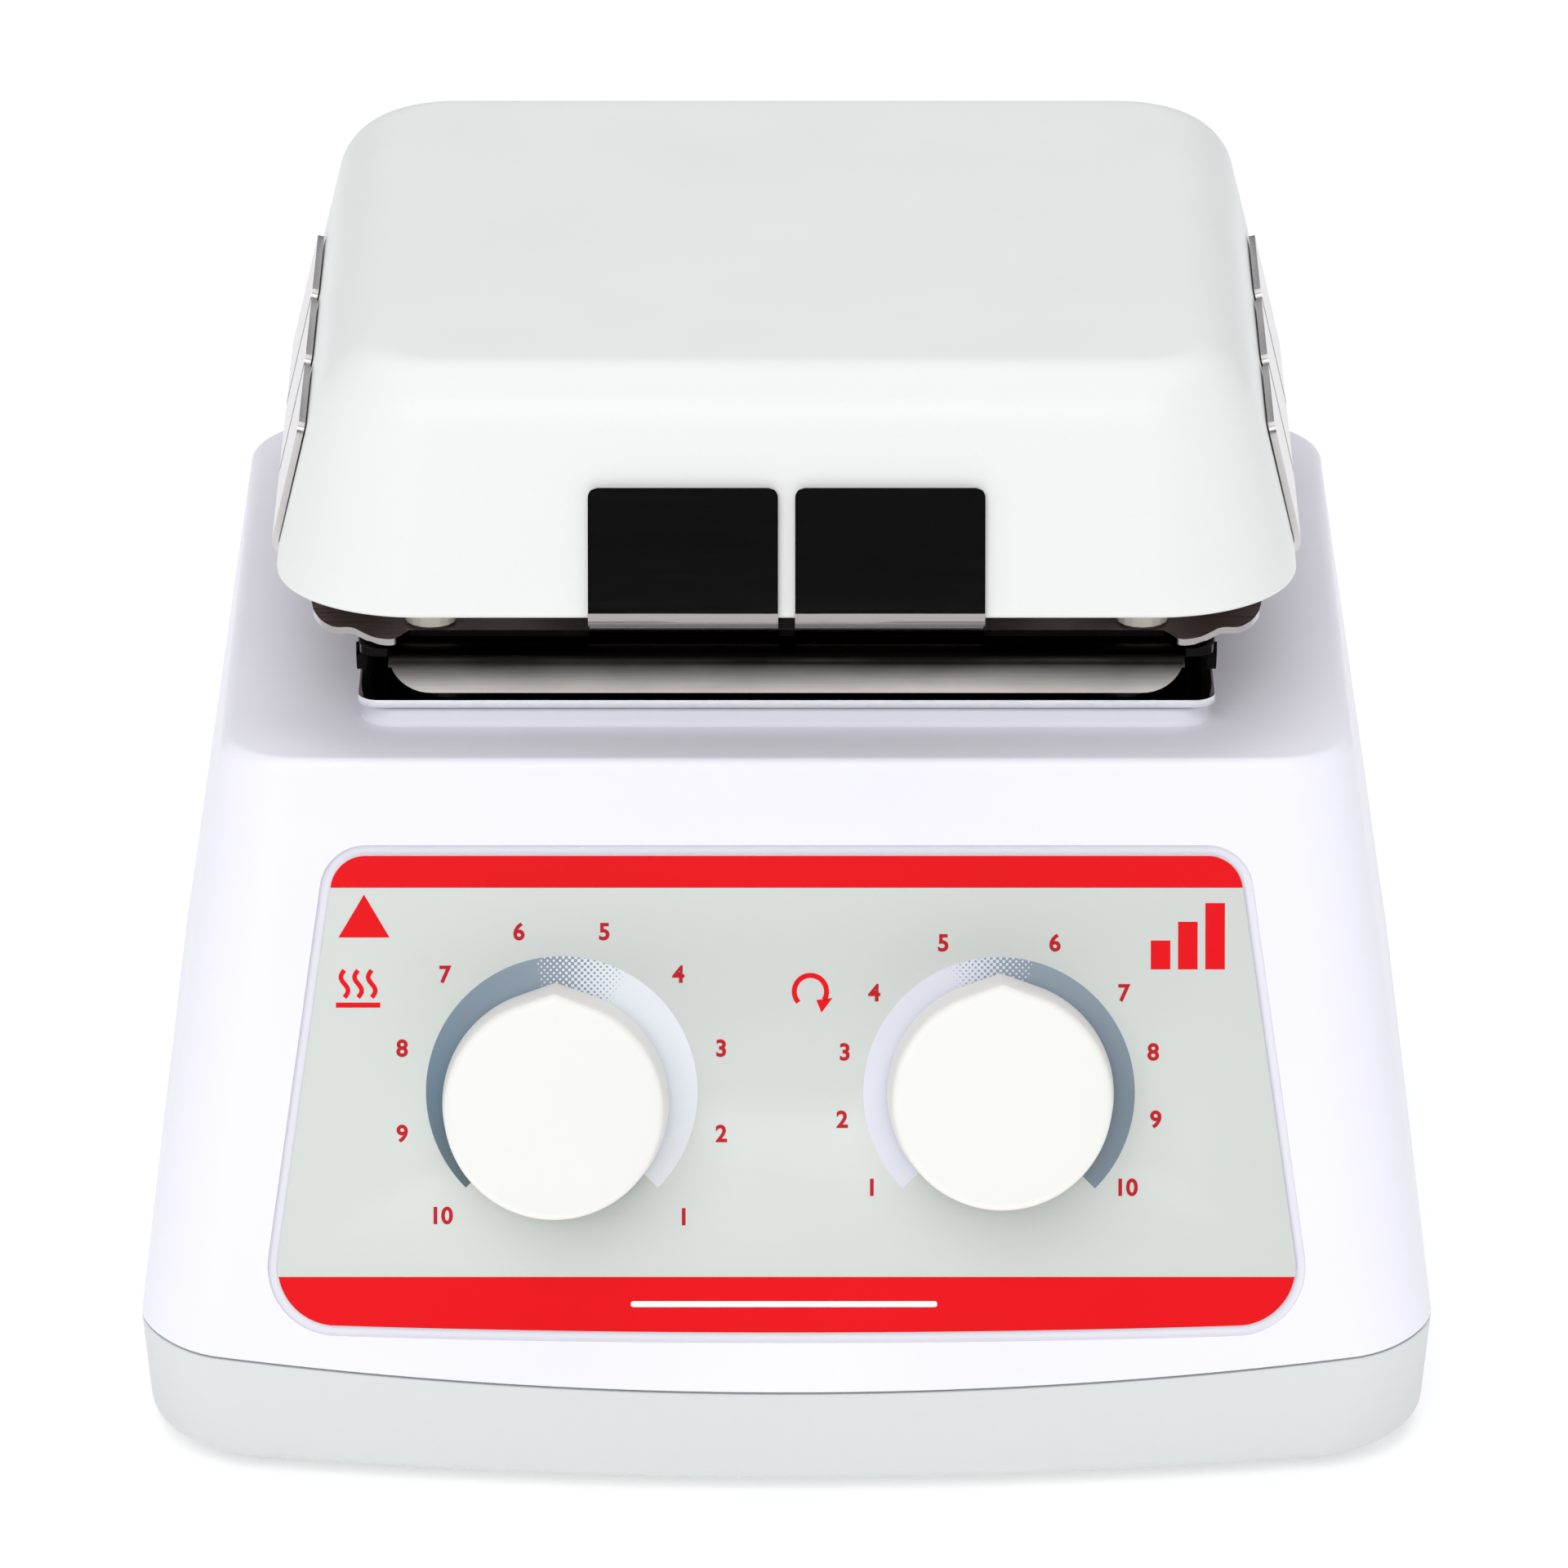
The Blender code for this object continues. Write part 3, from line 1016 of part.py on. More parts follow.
bottom_shell()
rubber_feet()
housing_screws()
upper_housing()
control_overlay()
for label, pivot in (("heat", heat_axis), ("stir", stir_axis)):
    knob(f"{label}_knob", pivot)
    potentiometer(label, pivot)
reflector_plate()
heat_shield_pan()
clip_tray()
posts_and_spacers()
ceramic_top()
heater_stack()
heater_leads()
motor()
magnet_rotor()
electronics()
power_inlet()
fuse_drawer()
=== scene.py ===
"""Looks of the compact hotplate stirrer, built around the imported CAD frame."""

import json
from math import acos, atan, cos, degrees, pi, radians, sin, sqrt, tan

import bmesh
import bpy
from mathutils import Matrix, Vector


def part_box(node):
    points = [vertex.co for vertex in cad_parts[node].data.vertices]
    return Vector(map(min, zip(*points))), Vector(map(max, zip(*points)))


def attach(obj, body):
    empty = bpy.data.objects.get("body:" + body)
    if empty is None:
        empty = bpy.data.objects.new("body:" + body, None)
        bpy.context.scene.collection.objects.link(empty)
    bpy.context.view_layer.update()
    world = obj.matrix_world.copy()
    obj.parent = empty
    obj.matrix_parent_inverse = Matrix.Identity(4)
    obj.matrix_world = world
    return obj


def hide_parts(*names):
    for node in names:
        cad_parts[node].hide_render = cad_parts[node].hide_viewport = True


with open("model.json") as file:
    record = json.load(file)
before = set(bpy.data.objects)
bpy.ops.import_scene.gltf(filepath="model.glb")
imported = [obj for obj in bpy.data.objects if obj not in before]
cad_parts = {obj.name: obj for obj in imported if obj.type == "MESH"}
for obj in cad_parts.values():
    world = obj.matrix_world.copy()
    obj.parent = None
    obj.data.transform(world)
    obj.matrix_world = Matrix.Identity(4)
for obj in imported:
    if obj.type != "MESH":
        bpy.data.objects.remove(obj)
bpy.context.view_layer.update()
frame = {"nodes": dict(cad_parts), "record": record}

MM = 0.001
GAP = 0.3 * MM
WALL = 2.5 * MM

# ---- dimensions shared with the frame, in metres
FRONT_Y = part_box("upper_housing")[0].y
BACK_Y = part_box("upper_housing")[1].y
FOOT = 2.0 * MM
BASE_W = 152.4 * MM
CORNER_R = 9.7 * MM
BASE_EDGE_R = 1.3 * MM
BASE_DRAFT = 0.3 * MM
BASE_CORNER = Vector((15.2, 20.5)) * MM
BASE_BOW = 5.8 * MM
BASE_LEAN = 1.0 * MM
SEAM_Z = FOOT + 11.6 * MM
SEAM_DIP = 5.6 * MM
SEAM_FRONT_RISE = 0.63
SEAM_SWELL = 0.29
SEAM_BOW = 2.2 * MM
SEAM_CHAMFER = 0.12 * MM
SEAM_CHAMFER_H = 0.15 * MM
SIDE_SEAM_Z = SEAM_Z + SEAM_DIP
PANEL_SLOPE = radians(71.5)
PANEL_FLAT_Z = FOOT + 22.5 * MM
DECK_Z = FOOT + 82.5 * MM
DECK_W = 133.3 * MM
DECK_R_FRONT = 8.5 * MM
DECK_R_BACK = 14.0 * MM
DECK_EDGE_R = 1.5 * MM
CEILING_Z = DECK_Z - WALL
PAD_W = 99.8 * MM
PAD_H = 2.3 * MM
PAD_CORNER_R = 4.0 * MM
AXIS_Y = FRONT_Y + 84.2 * MM
SHAFT_HOLE_R = 5.5 * MM
LEAD_HOLE_R = 2.6 * MM
LEAD_X = 14.0 * MM
LEAD_Y = 36.0 * MM
INLET_X = 34.0 * MM
INLET_Z = FOOT + 38.0 * MM

OVERLAY_BOTTOM = 7.2 * MM
OVERLAY_TOP = 63.4 * MM
OVERLAY_HALF_BOTTOM = 60.2 * MM
OVERLAY_HALF_TOP = 53.6 * MM
OVERLAY_T = 0.5 * MM
OVERLAY_SINK = 0.1 * MM
OVERLAY_MARGIN = 1.2 * MM
OVERLAY_R_BOTTOM = 7.0 * MM
OVERLAY_R_TOP = 4.2 * MM
OVERLAY_SAG = 0.8 * MM
HEAT_KNOB = Vector((-27.1, 34.4, 0.0)) * MM
STIR_KNOB = Vector((25.1, 35.5, 0.0)) * MM
HEAT_RING = Vector((-26.4, 35.6)) * MM
STIR_RING = Vector((24.95, 35.5)) * MM
RING_OUTER_R = 15.95 * MM
RING_INNER_R = 11.6 * MM
DOT_PITCH = 0.52 * MM
DIGIT = 2.75 * MM
DIGIT_WEIGHT = 0.085 * MM
PRINT_T = 0.03 * MM
PRINT_Z = -OVERLAY_SINK - 0.01 * MM
KNOB_R = 13.3 * MM
KNOB_FACE_R = 12.8 * MM
KNOB_TIP = 14.1 * MM
KNOB_TOP = 14.0 * MM
BUSHING_R = 3.5 * MM

REFLECTOR_W = 101.2 * MM
REFLECTOR_CORNER_R = 2.6 * MM
SHEET = 1.0 * MM
PLATE_HOLE_R = 7.0 * MM
TRAY_HOLE_R = 9.0 * MM
SCREW_HOLE_R = 1.9 * MM
PAN_TOP = DECK_Z + 10.0 * MM
PAN_APRON_BOTTOM = DECK_Z + 4.6 * MM
PAN_APRON_HALF = 46.9 * MM
PAN_HALF = 50.8 * MM
PAN_BEND_R = 2.2 * MM
PAN_CORNER_R = 2.4 * MM
APRON_CORNER_R = 5.0 * MM
TRAY_Z = PAN_TOP + GAP
TRAY_T = 0.8 * MM
TRAY_SIDE = 56.4 * MM
TRAY_FRONT = 47.0 * MM
TRAY_CORNER = [Vector(point) * MM for point in (
    (44.5, 47.0), (46.3, 50.4), (48.6, 49.6), (50.0, 47.8), (51.3, 45.9), (53.4, 46.2), (55.0, 43.9),
    (56.0, 40.5), (56.4, 36.8))]
TAB_BEND_R = 1.4 * MM
SKIRT_Z = DECK_Z + 17.3 * MM
TOP_Z = DECK_Z + 45.4 * MM
SKIRT_W = 120.3 * MM
TOP_FLAT_W = 94.6 * MM
TOP_EDGE_R = 8.0 * MM
SKIRT_CORNER_R = 17.0 * MM
FLAT_CORNER_R = 6.5 * MM
SKIRT_EDGE = 0.7 * MM
CERAMIC_T = 4.0 * MM
TAB_W = 22.2 * MM
TAB_PITCH = 24.2 * MM
TAB_H = 14.7 * MM
TAB_CORNER_R = 1.1 * MM

PANEL = Matrix.Translation((0, FRONT_Y, SEAM_Z)) @ Matrix.Rotation(PANEL_SLOPE, 4, "X")

PARTS = bpy.data.collections.new("hotplate_stirrer")
bpy.context.scene.collection.children.link(PARTS)

# ---- materials


class Shader:
    """A procedural material, built node by node."""

    def __init__(self, name, colour, roughness, metallic=0.0, **extras):
        self.material = bpy.data.materials.new(name)
        self.material.use_nodes = True
        self.nodes = self.material.node_tree.nodes
        self.links = self.material.node_tree.links
        self.bsdf = self.nodes["Principled BSDF"]
        self.bsdf.inputs["Base Color"].default_value = (*colour, 1.0)
        self.bsdf.inputs["Roughness"].default_value = roughness
        self.bsdf.inputs["Metallic"].default_value = metallic
        for key, value in extras.items():
            self.bsdf.inputs[key.replace("_", " ")].default_value = value
        self.colour = colour
        self.place = self.nodes.new("ShaderNodeTexCoord").outputs["Object"]
        self.bump_in = None

    def node(self, kind, inputs=None, **settings):
        made = self.nodes.new(kind)
        for key, value in settings.items():
            setattr(made, key, value)
        for key, value in (inputs or {}).items():
            if isinstance(value, bpy.types.NodeSocket):
                self.links.new(value, made.inputs[key])
            else:
                made.inputs[key].default_value = value
        return made

    def mapped(self, stretch):
        return self.node("ShaderNodeMapping", {"Vector": self.place, "Scale": stretch}).outputs[0]

    def noise(self, scale, detail=3.0, stretch=(1, 1, 1)):
        inputs = {"Vector": self.mapped(stretch), "Scale": scale, "Detail": detail}
        return self.node("ShaderNodeTexNoise", inputs).outputs["Fac"]

    def remap(self, value, low, high, from_low=0.3, from_high=0.7):
        inputs = {"Value": value, "From Min": from_low, "From Max": from_high, "To Min": low, "To Max": high}
        return self.node("ShaderNodeMapRange", inputs).outputs["Result"]

    def math(self, operation, a, b=0.0):
        return self.node("ShaderNodeMath", {0: a, 1: b}, operation=operation).outputs[0]

    def blend(self, factor, a, b):
        return self.node("ShaderNodeMix", {0: factor, 6: a, 7: b}, data_type="RGBA").outputs[2]

    def tint(self, amount):
        return tuple(min(channel * amount, 1.0) for channel in self.colour) + (1.0,)

    def feed(self, socket, name="Base Color"):
        self.links.new(socket, self.bsdf.inputs[name])
        return self

    def mottle(self, scale, amount, stretch=(1, 1, 1)):
        factor = self.remap(self.noise(scale, stretch=stretch), 0.0, 1.0)
        return self.feed(self.blend(factor, self.tint(1 - amount), self.tint(1 + amount)))

    def gloss(self, scale, low, high, stretch=(1, 1, 1)):
        return self.feed(self.remap(self.noise(scale, 4.0, stretch), low, high), "Roughness")

    def bump(self, height, strength, distance):
        made = self.node("ShaderNodeBump", {"Height": height, "Strength": strength, "Distance": distance})
        if self.bump_in:
            self.links.new(self.bump_in, made.inputs["Normal"])
        self.bump_in = made.outputs["Normal"]
        return self.feed(self.bump_in, "Normal")

    def grain(self, scale, strength, distance, detail=2.0):
        return self.bump(self.noise(scale, detail), strength, distance)


def moulded(name, colour, roughness, grain=2600.0, strength=0.12, mottle=0.012):
    """Moulded plastic: a fine spark-eroded grain, faint cloudiness and uneven sheen."""
    made = Shader(name, colour, roughness)
    made.mottle(9.0, mottle).gloss(35.0, roughness - 0.05, roughness + 0.07)
    made.grain(grain, strength, 0.00006).grain(120.0, 0.05, 0.0002)
    return made.material


def sheet_metal(name, colour, low, high, stretch, bump):
    """Rolled sheet: fine brushed lines, smears and small scratches."""
    made = Shader(name, colour, low, 1.0)
    made.mottle(1.0, 0.04, stretch).gloss(1.0, low, high, stretch)
    lines = made.noise(1.0, stretch=tuple(2.2 * part for part in stretch))
    made.bump(lines, bump, 0.00003)
    made.grain(160.0, 0.05, 0.0001)
    return made.material


def heat_tinted(name, dark, light, low_z, high_z, roughness, metallic=1.0, fade=1.0):
    """Stainless sheet with a faint brownish heat tint, painted darker towards the top as shade and reflection
    under the ceramic plate.
    """
    made = Shader(name, light, roughness, metallic)
    height = made.node("ShaderNodeSeparateXYZ", {0: made.place}).outputs[2]
    smear = made.math("MULTIPLY", made.math("SUBTRACT", made.noise(70.0, 4.0, (1, 1, 3)), 0.5), 0.0012)
    unshaded = made.math("POWER", made.remap(made.math("ADD", height, smear), 1.0, 0.0, low_z, high_z), fade)
    streaks = made.remap(made.noise(1.0, 3.0, (30, 2600, 2600)), 0.88, 1.1)
    # Towards the top the colour runs to the dark one: painted shade and painted reflection under the plate.
    shaded_colour = made.blend(unshaded, (*dark, 1.0), (*light, 1.0))
    shade = made.node("ShaderNodeVectorMath", {0: shaded_colour, 3: streaks}, operation="SCALE")
    made.feed(shade.outputs[0])
    made.gloss(1.0, roughness - 0.06, roughness + 0.08, (30, 2600, 2600))
    made.bump(made.noise(1.0, 2.0, (60, 5000, 5000)), 0.03, 0.00003)
    return made.material


def glaze(name, colour):
    """Glazed ceramic: a smooth clear coat over a faintly speckled body, with a slight orange peel."""
    made = Shader(name, colour, 0.35, Coat_Weight=0.16, Coat_Roughness=0.34)
    speck = made.node("ShaderNodeTexVoronoi", {"Vector": made.place, "Scale": 900.0}).outputs["Distance"]
    mask = made.remap(speck, 1.0, 0.0, 0.04, 0.12)
    cloud = made.remap(made.noise(22.0, 3.0), 0.0, 1.0, 0.1, 0.9)
    body = made.blend(cloud, made.tint(0.992), made.tint(1.006))
    made.feed(made.blend(mask, body, made.tint(0.95)))
    made.gloss(60.0, 0.38, 0.48)
    made.grain(85.0, 0.02, 0.0003, detail=0.0).grain(700.0, 0.02, 0.0001)
    return made.material


def matte_mass(name, colour, roughness, scale, strength, mottle=0.08, specular=0.5):
    """Fibre, ferrite, steatite and the like: a coarse, even texture."""
    made = Shader(name, colour, roughness, Specular_IOR_Level=specular)
    made.mottle(scale * 0.3, mottle).gloss(scale * 0.5, roughness - 0.08, min(roughness + 0.08, 1.0))
    made.grain(scale, strength, 0.0002)
    return made.material


HOUSING = moulded("housing_plastic", (0.875, 0.868, 0.925), 0.42)
BASE = moulded("base_plastic", (0.67, 0.695, 0.685), 0.5, grain=2200.0, strength=0.2)
KNOB = moulded("knob_plastic", (0.85, 0.852, 0.80), 0.38, grain=3200.0, strength=0.08)
DARK = moulded("inlet_plastic", (0.035, 0.035, 0.037), 0.45, grain=2000.0, strength=0.25, mottle=0.15)
RUBBER = matte_mass("foot_rubber", (0.03, 0.03, 0.03), 0.8, 1800.0, 0.4)
CERAMIC = glaze("ceramic_glaze", (0.818, 0.832, 0.803))
# The stainless of the front and back tabs, the reflector and the other steel parts is darkened as painted
# shade; the side tabs keep the steel's own tone.
SHADED_STAINLESS = sheet_metal("polished_stainless_painted_shade", (0.35, 0.33, 0.325), 0.055, 0.10, (40, 5200, 5200), 0.035)
POLISHED_SIDE = sheet_metal("polished_stainless_side", (0.56, 0.54, 0.53), 0.18, 0.28, (5200, 5200, 40), 0.02)
# A bright bluish copy of the steel for the reflector's cut edge: a painted highlight over the sheared
# texture.
EDGE_HIGHLIGHT = sheet_metal("sheared_edge_painted_highlight", (0.92, 0.95, 1.0), 0.40, 0.54, (900, 900, 2400), 0.03)
# The pan and the tray are painted dark towards the top: painted shade and painted reflection under the
# ceramic plate.
PAN_STEEL = heat_tinted("heat_tinted_pan", (0.006, 0.0045, 0.004), (0.58, 0.545, 0.52), PAN_APRON_BOTTOM,
                        PAN_TOP - 1.1 * MM, 0.30, fade=1.6)
TRAY_STEEL = heat_tinted("heat_tinted_tray", (0.06, 0.04, 0.035), (0.36, 0.26, 0.23), TRAY_Z,
                         SKIRT_Z - 2 * MM, 0.30, metallic=0.5)
STEEL = sheet_metal("zinc_plated_steel", (0.56, 0.57, 0.58), 0.30, 0.42, (260, 260, 260), 0.1)
ALUMINIUM = sheet_metal("milled_aluminium", (0.76, 0.77, 0.78), 0.34, 0.48, (40, 700, 700), 0.1)
BRASS = sheet_metal("turned_brass", (0.72, 0.55, 0.25), 0.26, 0.40, (90, 90, 1600), 0.1)
# Near-black for sheet edges that sit under the plate: painted shade.
SHADED_EDGE = matte_mass("edge_painted_shade", (0.006, 0.005, 0.005), 0.9, 1200.0, 0.3, 0.3, specular=0.1)
# The ceramic's unglazed underside, painted near-black as shade.
SHADED_UNDERSIDE = matte_mass("unglazed_underside_painted_shade", (0.035, 0.026, 0.022), 0.7, 900.0, 0.3, 0.3)
STEATITE = matte_mass("steatite_ceramic", (0.82, 0.77, 0.66), 0.6, 1400.0, 0.2, 0.05)
FIBRE = matte_mass("fibre_board", (0.82, 0.80, 0.75), 0.92, 900.0, 0.8, 0.1)
MICA = matte_mass("mica_sheet", (0.45, 0.36, 0.24), 0.5, 700.0, 0.3, 0.35)
FERRITE = matte_mass("ferrite_block", (0.06, 0.06, 0.065), 0.5, 1500.0, 0.4, 0.2)
SLEEVE = matte_mass("glass_sleeving", (0.66, 0.64, 0.55), 0.8, 2400.0, 0.9, 0.12)


def overlay_film(name, colour, coat=0.12, specular=0.5):
    """Printed film with a fine velvet texture under a satin lacquer."""
    made = Shader(name, colour, 0.36, Coat_Weight=coat, Coat_Roughness=0.35, Specular_IOR_Level=specular)
    made.mottle(14.0, 0.01).gloss(50.0, 0.33, 0.42)
    made.grain(4200.0, 0.10, 0.00004)
    return made.material


FILM = overlay_film("overlay_film", (0.632, 0.67, 0.632))
RED_INK = overlay_film("red_ink", (0.79, 0.004, 0.008), 0.0, 0.12)
NUMBER_INK = overlay_film("number_ink", (0.50, 0.014, 0.022), 0.0, 0.12)
WHITE_INK = overlay_film("white_ink", (0.90, 0.90, 0.90))


def dial_ink(name, centre, stops, dots_from, dots_to):
    """Ink whose tone runs round the dial, with a halftone screen over part of the way."""
    made = Shader(name, (0.5, 0.5, 0.5), 0.38, Coat_Weight=0.12, Coat_Roughness=0.35)
    local = made.node("ShaderNodeVectorMath", {0: made.place, 1: (centre.x, centre.y, 0)},
                      operation="SUBTRACT").outputs[0]
    split = made.node("ShaderNodeSeparateXYZ", {0: local})
    # The gap of the ring points down, so the angle is counted from there.
    angle = made.math("ARCTAN2", split.outputs[0], made.math("MULTIPLY", split.outputs[1], -1.0))
    turn = made.math("FRACT", made.math("DIVIDE", angle, 2 * pi))
    ramp = made.node("ShaderNodeValToRGB", {0: turn})
    elements = ramp.color_ramp.elements
    for i, (place, colour) in enumerate(stops):
        element = elements[i] if i < 2 else elements.new(place)
        element.position, element.color = place, (*colour, 1.0)
    turned = made.node("ShaderNodeVectorRotate", {0: local, 3: radians(45)}, rotation_type="Z_AXIS")
    grid = made.node("ShaderNodeSeparateXYZ", {0: turned.outputs[0]})
    pitch = 2 * pi / DOT_PITCH
    waves = [made.math("SINE", made.math("MULTIPLY", grid.outputs[i], pitch)) for i in (0, 1)]
    screen = made.math("ADD", waves[0], waves[1])
    # The screen swings between -2 and 2; it leaves the ring pale where it stays below the cover.
    cover = made.remap(turn, -1.3, 1.95, dots_from, dots_to)
    dot = made.math("GREATER_THAN", screen, cover)
    pale = stops[0][1] if dots_from > dots_to else stops[-1][1]
    inside = made.math("MULTIPLY", made.math("GREATER_THAN", turn, min(dots_from, dots_to)),
                       made.math("LESS_THAN", turn, max(dots_from, dots_to)))
    bare = made.math("MULTIPLY", inside, made.math("SUBTRACT", 1.0, dot))
    made.feed(made.blend(bare, ramp.outputs[0], (*pale, 1.0)))
    return made.material


# ---- shape helpers


def finish_mesh(shape, name, material, turn=None, sharp=35):
    """A bmesh as an object of the scene, shaded smooth except at its sharp edges."""
    bmesh.ops.remove_doubles(shape, verts=shape.verts, dist=1e-7)
    bmesh.ops.recalc_face_normals(shape, faces=shape.faces)
    if turn is not None:
        bmesh.ops.transform(shape, matrix=turn, verts=shape.verts)
    mesh = bpy.data.meshes.new(name)
    shape.to_mesh(mesh)
    shape.free()
    mesh.shade_smooth()
    mesh.set_sharp_from_angle(angle=radians(sharp))
    mesh.materials.append(material)
    obj = bpy.data.objects.new(name, mesh)
    PARTS.objects.link(obj)
    return obj


def evaluated(obj):
    """The object's shape with its modifiers applied, as a mesh."""
    bpy.context.view_layer.update()
    graph = bpy.context.evaluated_depsgraph_get()
    return bpy.data.meshes.new_from_object(obj.evaluated_get(graph))


def drawn_mesh(name, curve):
    """The mesh of a filled curve."""
    drawn = bpy.data.objects.new(name, curve)
    PARTS.objects.link(drawn)
    mesh = evaluated(drawn)
    bpy.data.objects.remove(drawn)
    return mesh


def dress_faces(obj, material, chosen):
    """Gives the chosen faces another material."""
    obj.data.materials.append(material)
    for face in obj.data.polygons:
        if chosen(face):
            face.material_index = len(obj.data.materials) - 1


def carve(obj, tools, operation="DIFFERENCE"):
    """Applies one Boolean per tool and removes the tools."""
    for tool in tools:
        step = obj.modifiers.new(tool.name, "BOOLEAN")
        step.operation = operation
        step.solver = "EXACT"
        step.material_mode = "TRANSFER"
        step.object = tool
    mesh = evaluated(obj)
    obj.modifiers.clear()
    obj.data = mesh
    mesh.shade_smooth()
    mesh.set_sharp_from_angle(angle=radians(30))
    for tool in tools:
        bpy.data.objects.remove(tool)


def soften(obj, width, segments=2, angle=40):
    """Rounds the object's sharp edges by a small radius."""
    bevel = obj.modifiers.new("soft_edges", "BEVEL")
    bevel.width = width
    bevel.segments = segments
    bevel.limit_method = "ANGLE"
    bevel.angle_limit = radians(angle)
    bevel.harden_normals = True
    obj.data = evaluated(obj)
    obj.modifiers.clear()


def box(name, size, at, edge=0.0):
    """A box; its size is in millimetres."""
    shape = bmesh.new()
    bmesh.ops.create_cube(shape, size=1.0)
    bmesh.ops.scale(shape, vec=Vector(size) * MM, verts=shape.verts)
    if edge:
        bmesh.ops.bevel(shape, geom=shape.edges, offset=edge, segments=2, profile=0.5, affect="EDGES")
    bmesh.ops.translate(shape, vec=at, verts=shape.verts)
    return finish_mesh(shape, name, HOUSING)


def rod(name, radius, low, high, turn=None, sides=64, centre=(0.0, 0.0)):
    shape = bmesh.new()
    bmesh.ops.create_cone(shape, cap_ends=True, segments=sides, radius1=radius, radius2=radius,
                          depth=high - low)
    bmesh.ops.translate(shape, vec=(*centre, (low + high) / 2), verts=shape.verts)
    return finish_mesh(shape, name, HOUSING, turn)


def spun(name, profile, material, turn=None, steps=64, closed=False):
    """A lathe shape from (radius, height) points."""
    shape = bmesh.new()
    points = [shape.verts.new((r, 0.0, z)) for r, z in profile]
    following = points[1:] + points[:1] if closed else points[1:]
    edges = [shape.edges.new(pair) for pair in zip(points, following)]
    bmesh.ops.spin(shape, geom=points + edges, axis=(0, 0, 1), angle=2 * pi, steps=steps, use_merge=True)
    return finish_mesh(shape, name, material, turn)


def arc(centre, radius, start, end, steps):
    return [(centre[0] + radius * cos(radians(start + (end - start) * i / steps)),
             centre[1] + radius * sin(radians(start + (end - start) * i / steps)))
            for i in range(steps + 1)]


def quarter_angles(steps):
    """Angles from 0 to 90 degrees, in radians."""
    return [radians(90 * i / steps) for i in range(steps + 1)]


def circle(x, y, radius, sides=64):
    return arc((x, y), radius, 0, 360 * (sides - 1) / sides, sides - 1)


def rounded_rectangle(half_x, half_y, radius, steps=12):
    points = []
    for sign_x, sign_y, start in ((1, -1, 270), (1, 1, 0), (-1, 1, 90), (-1, -1, 180)):
        centre = (sign_x * (half_x - radius), sign_y * (half_y - radius))
        points += arc(centre, radius, start, start + 90, steps)
    return points


def flat_piece(name, outlines, thickness, material, turn=None, edge=0.0):
    """A sheet cut to outlines; outlines inside another become holes. Its underside is at Z = 0."""
    curve = bpy.data.curves.new(name, "CURVE")
    curve.dimensions = "2D"
    curve.fill_mode = "BOTH"
    curve.extrude = thickness / 2 - edge
    curve.bevel_depth = edge
    curve.bevel_resolution = 1
    curve.offset = -edge
    for outline in outlines:
        spline = curve.splines.new("POLY")
        spline.points.add(len(outline) - 1)
        spline.use_cyclic_u = True
        for point, (x, y) in zip(spline.points, outline):
            point.co = (x, y, 0.0, 1.0)
    shape = bmesh.new()
    shape.from_mesh(drawn_mesh(name + "_outline", curve))
    bmesh.ops.translate(shape, vec=(0, 0, thickness / 2), verts=shape.verts)
    return finish_mesh(shape, name, material, turn)


def skin(rings):
    """A closed shape over rings of points."""
    shape = bmesh.new()
    rows = [[shape.verts.new(point) for point in ring] for ring in rings]
    for lower, upper in zip(rows, rows[1:]):
        for i in range(len(lower)):
            j = (i + 1) % len(lower)
            shape.faces.new((lower[i], lower[j], upper[j], upper[i]))
    shape.faces.new(rows[0][::-1])
    shape.faces.new(rows[-1])
    return shape


def on_panel(x, y, z):
    """A place on the front panel: across, up and out of it."""
    return PANEL @ Matrix.Translation((x, y, z))


def at_height(z):
    return Matrix.Translation((0, AXIS_Y, z))


def settle(obj, body, slot, *nodes):
    """The piece rides on its body and stands for these CAD nodes, which it hides; the slot argument is not
    used.
    """
    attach(obj, body)
    if nodes:
        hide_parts(*nodes)


FRONT_STEPS = 48
CORNER_STEPS = 12


def body_ring(half, front, back, r_front, r_back, height, bow=0.0, dip=0.0):
    """A rounded rectangle whose front edge can bow forward and dip at mid width."""
    points = []
    across, along = r_front if isinstance(r_front, Vector) else (r_front, r_front)
    straight = half - across
    for i in range(1, FRONT_STEPS):
        share = 2 * i / FRONT_STEPS - 1
        drop = dip * (1 - SEAM_FRONT_RISE * share ** 2)
        points.append(Vector((straight * share, front - bow * (1 - share ** 2), height - drop)))
    corners = (
        (1, 270, (across, along), front + along),
        (1, 0, (r_back, r_back), back - r_back),
        (-1, 90, (r_back, r_back), back - r_back),
        (-1, 180, (across, along), front + along),
    )
    for side, start, radii, y in corners:
        for i, (x, out) in enumerate(arc((0.0, 0.0), 1.0, start, start + 90, CORNER_STEPS)):
            progress = i / CORNER_STEPS if side > 0 else 1 - i / CORNER_STEPS
            eased = progress ** 2 * (3 - 2 * progress)
            swell = SEAM_SWELL * progress * (1 - progress) ** 2
            rise = mix(SEAM_FRONT_RISE, 1.0, eased) + swell
            drop = dip * (1 - rise) if y < (front + back) / 2 else 0.0
            x = side * (half - radii[0]) + radii[0] * x
            points.append(Vector((x, y + radii[1] * out, height - drop)))
    return points


def panel_y(height, inset=0.0):
    return FRONT_Y + (height - SEAM_Z) / tan(PANEL_SLOPE) + inset / sin(PANEL_SLOPE)


def side_x(height, inset=0.0):
    lean = (BASE_W - DECK_W) / 2 / (DECK_Z - SIDE_SEAM_Z)
    return BASE_W / 2 - lean * (height - SIDE_SEAM_Z) - inset


def mix(a, b, share):
    return a + (b - a) * share


# ---- housing


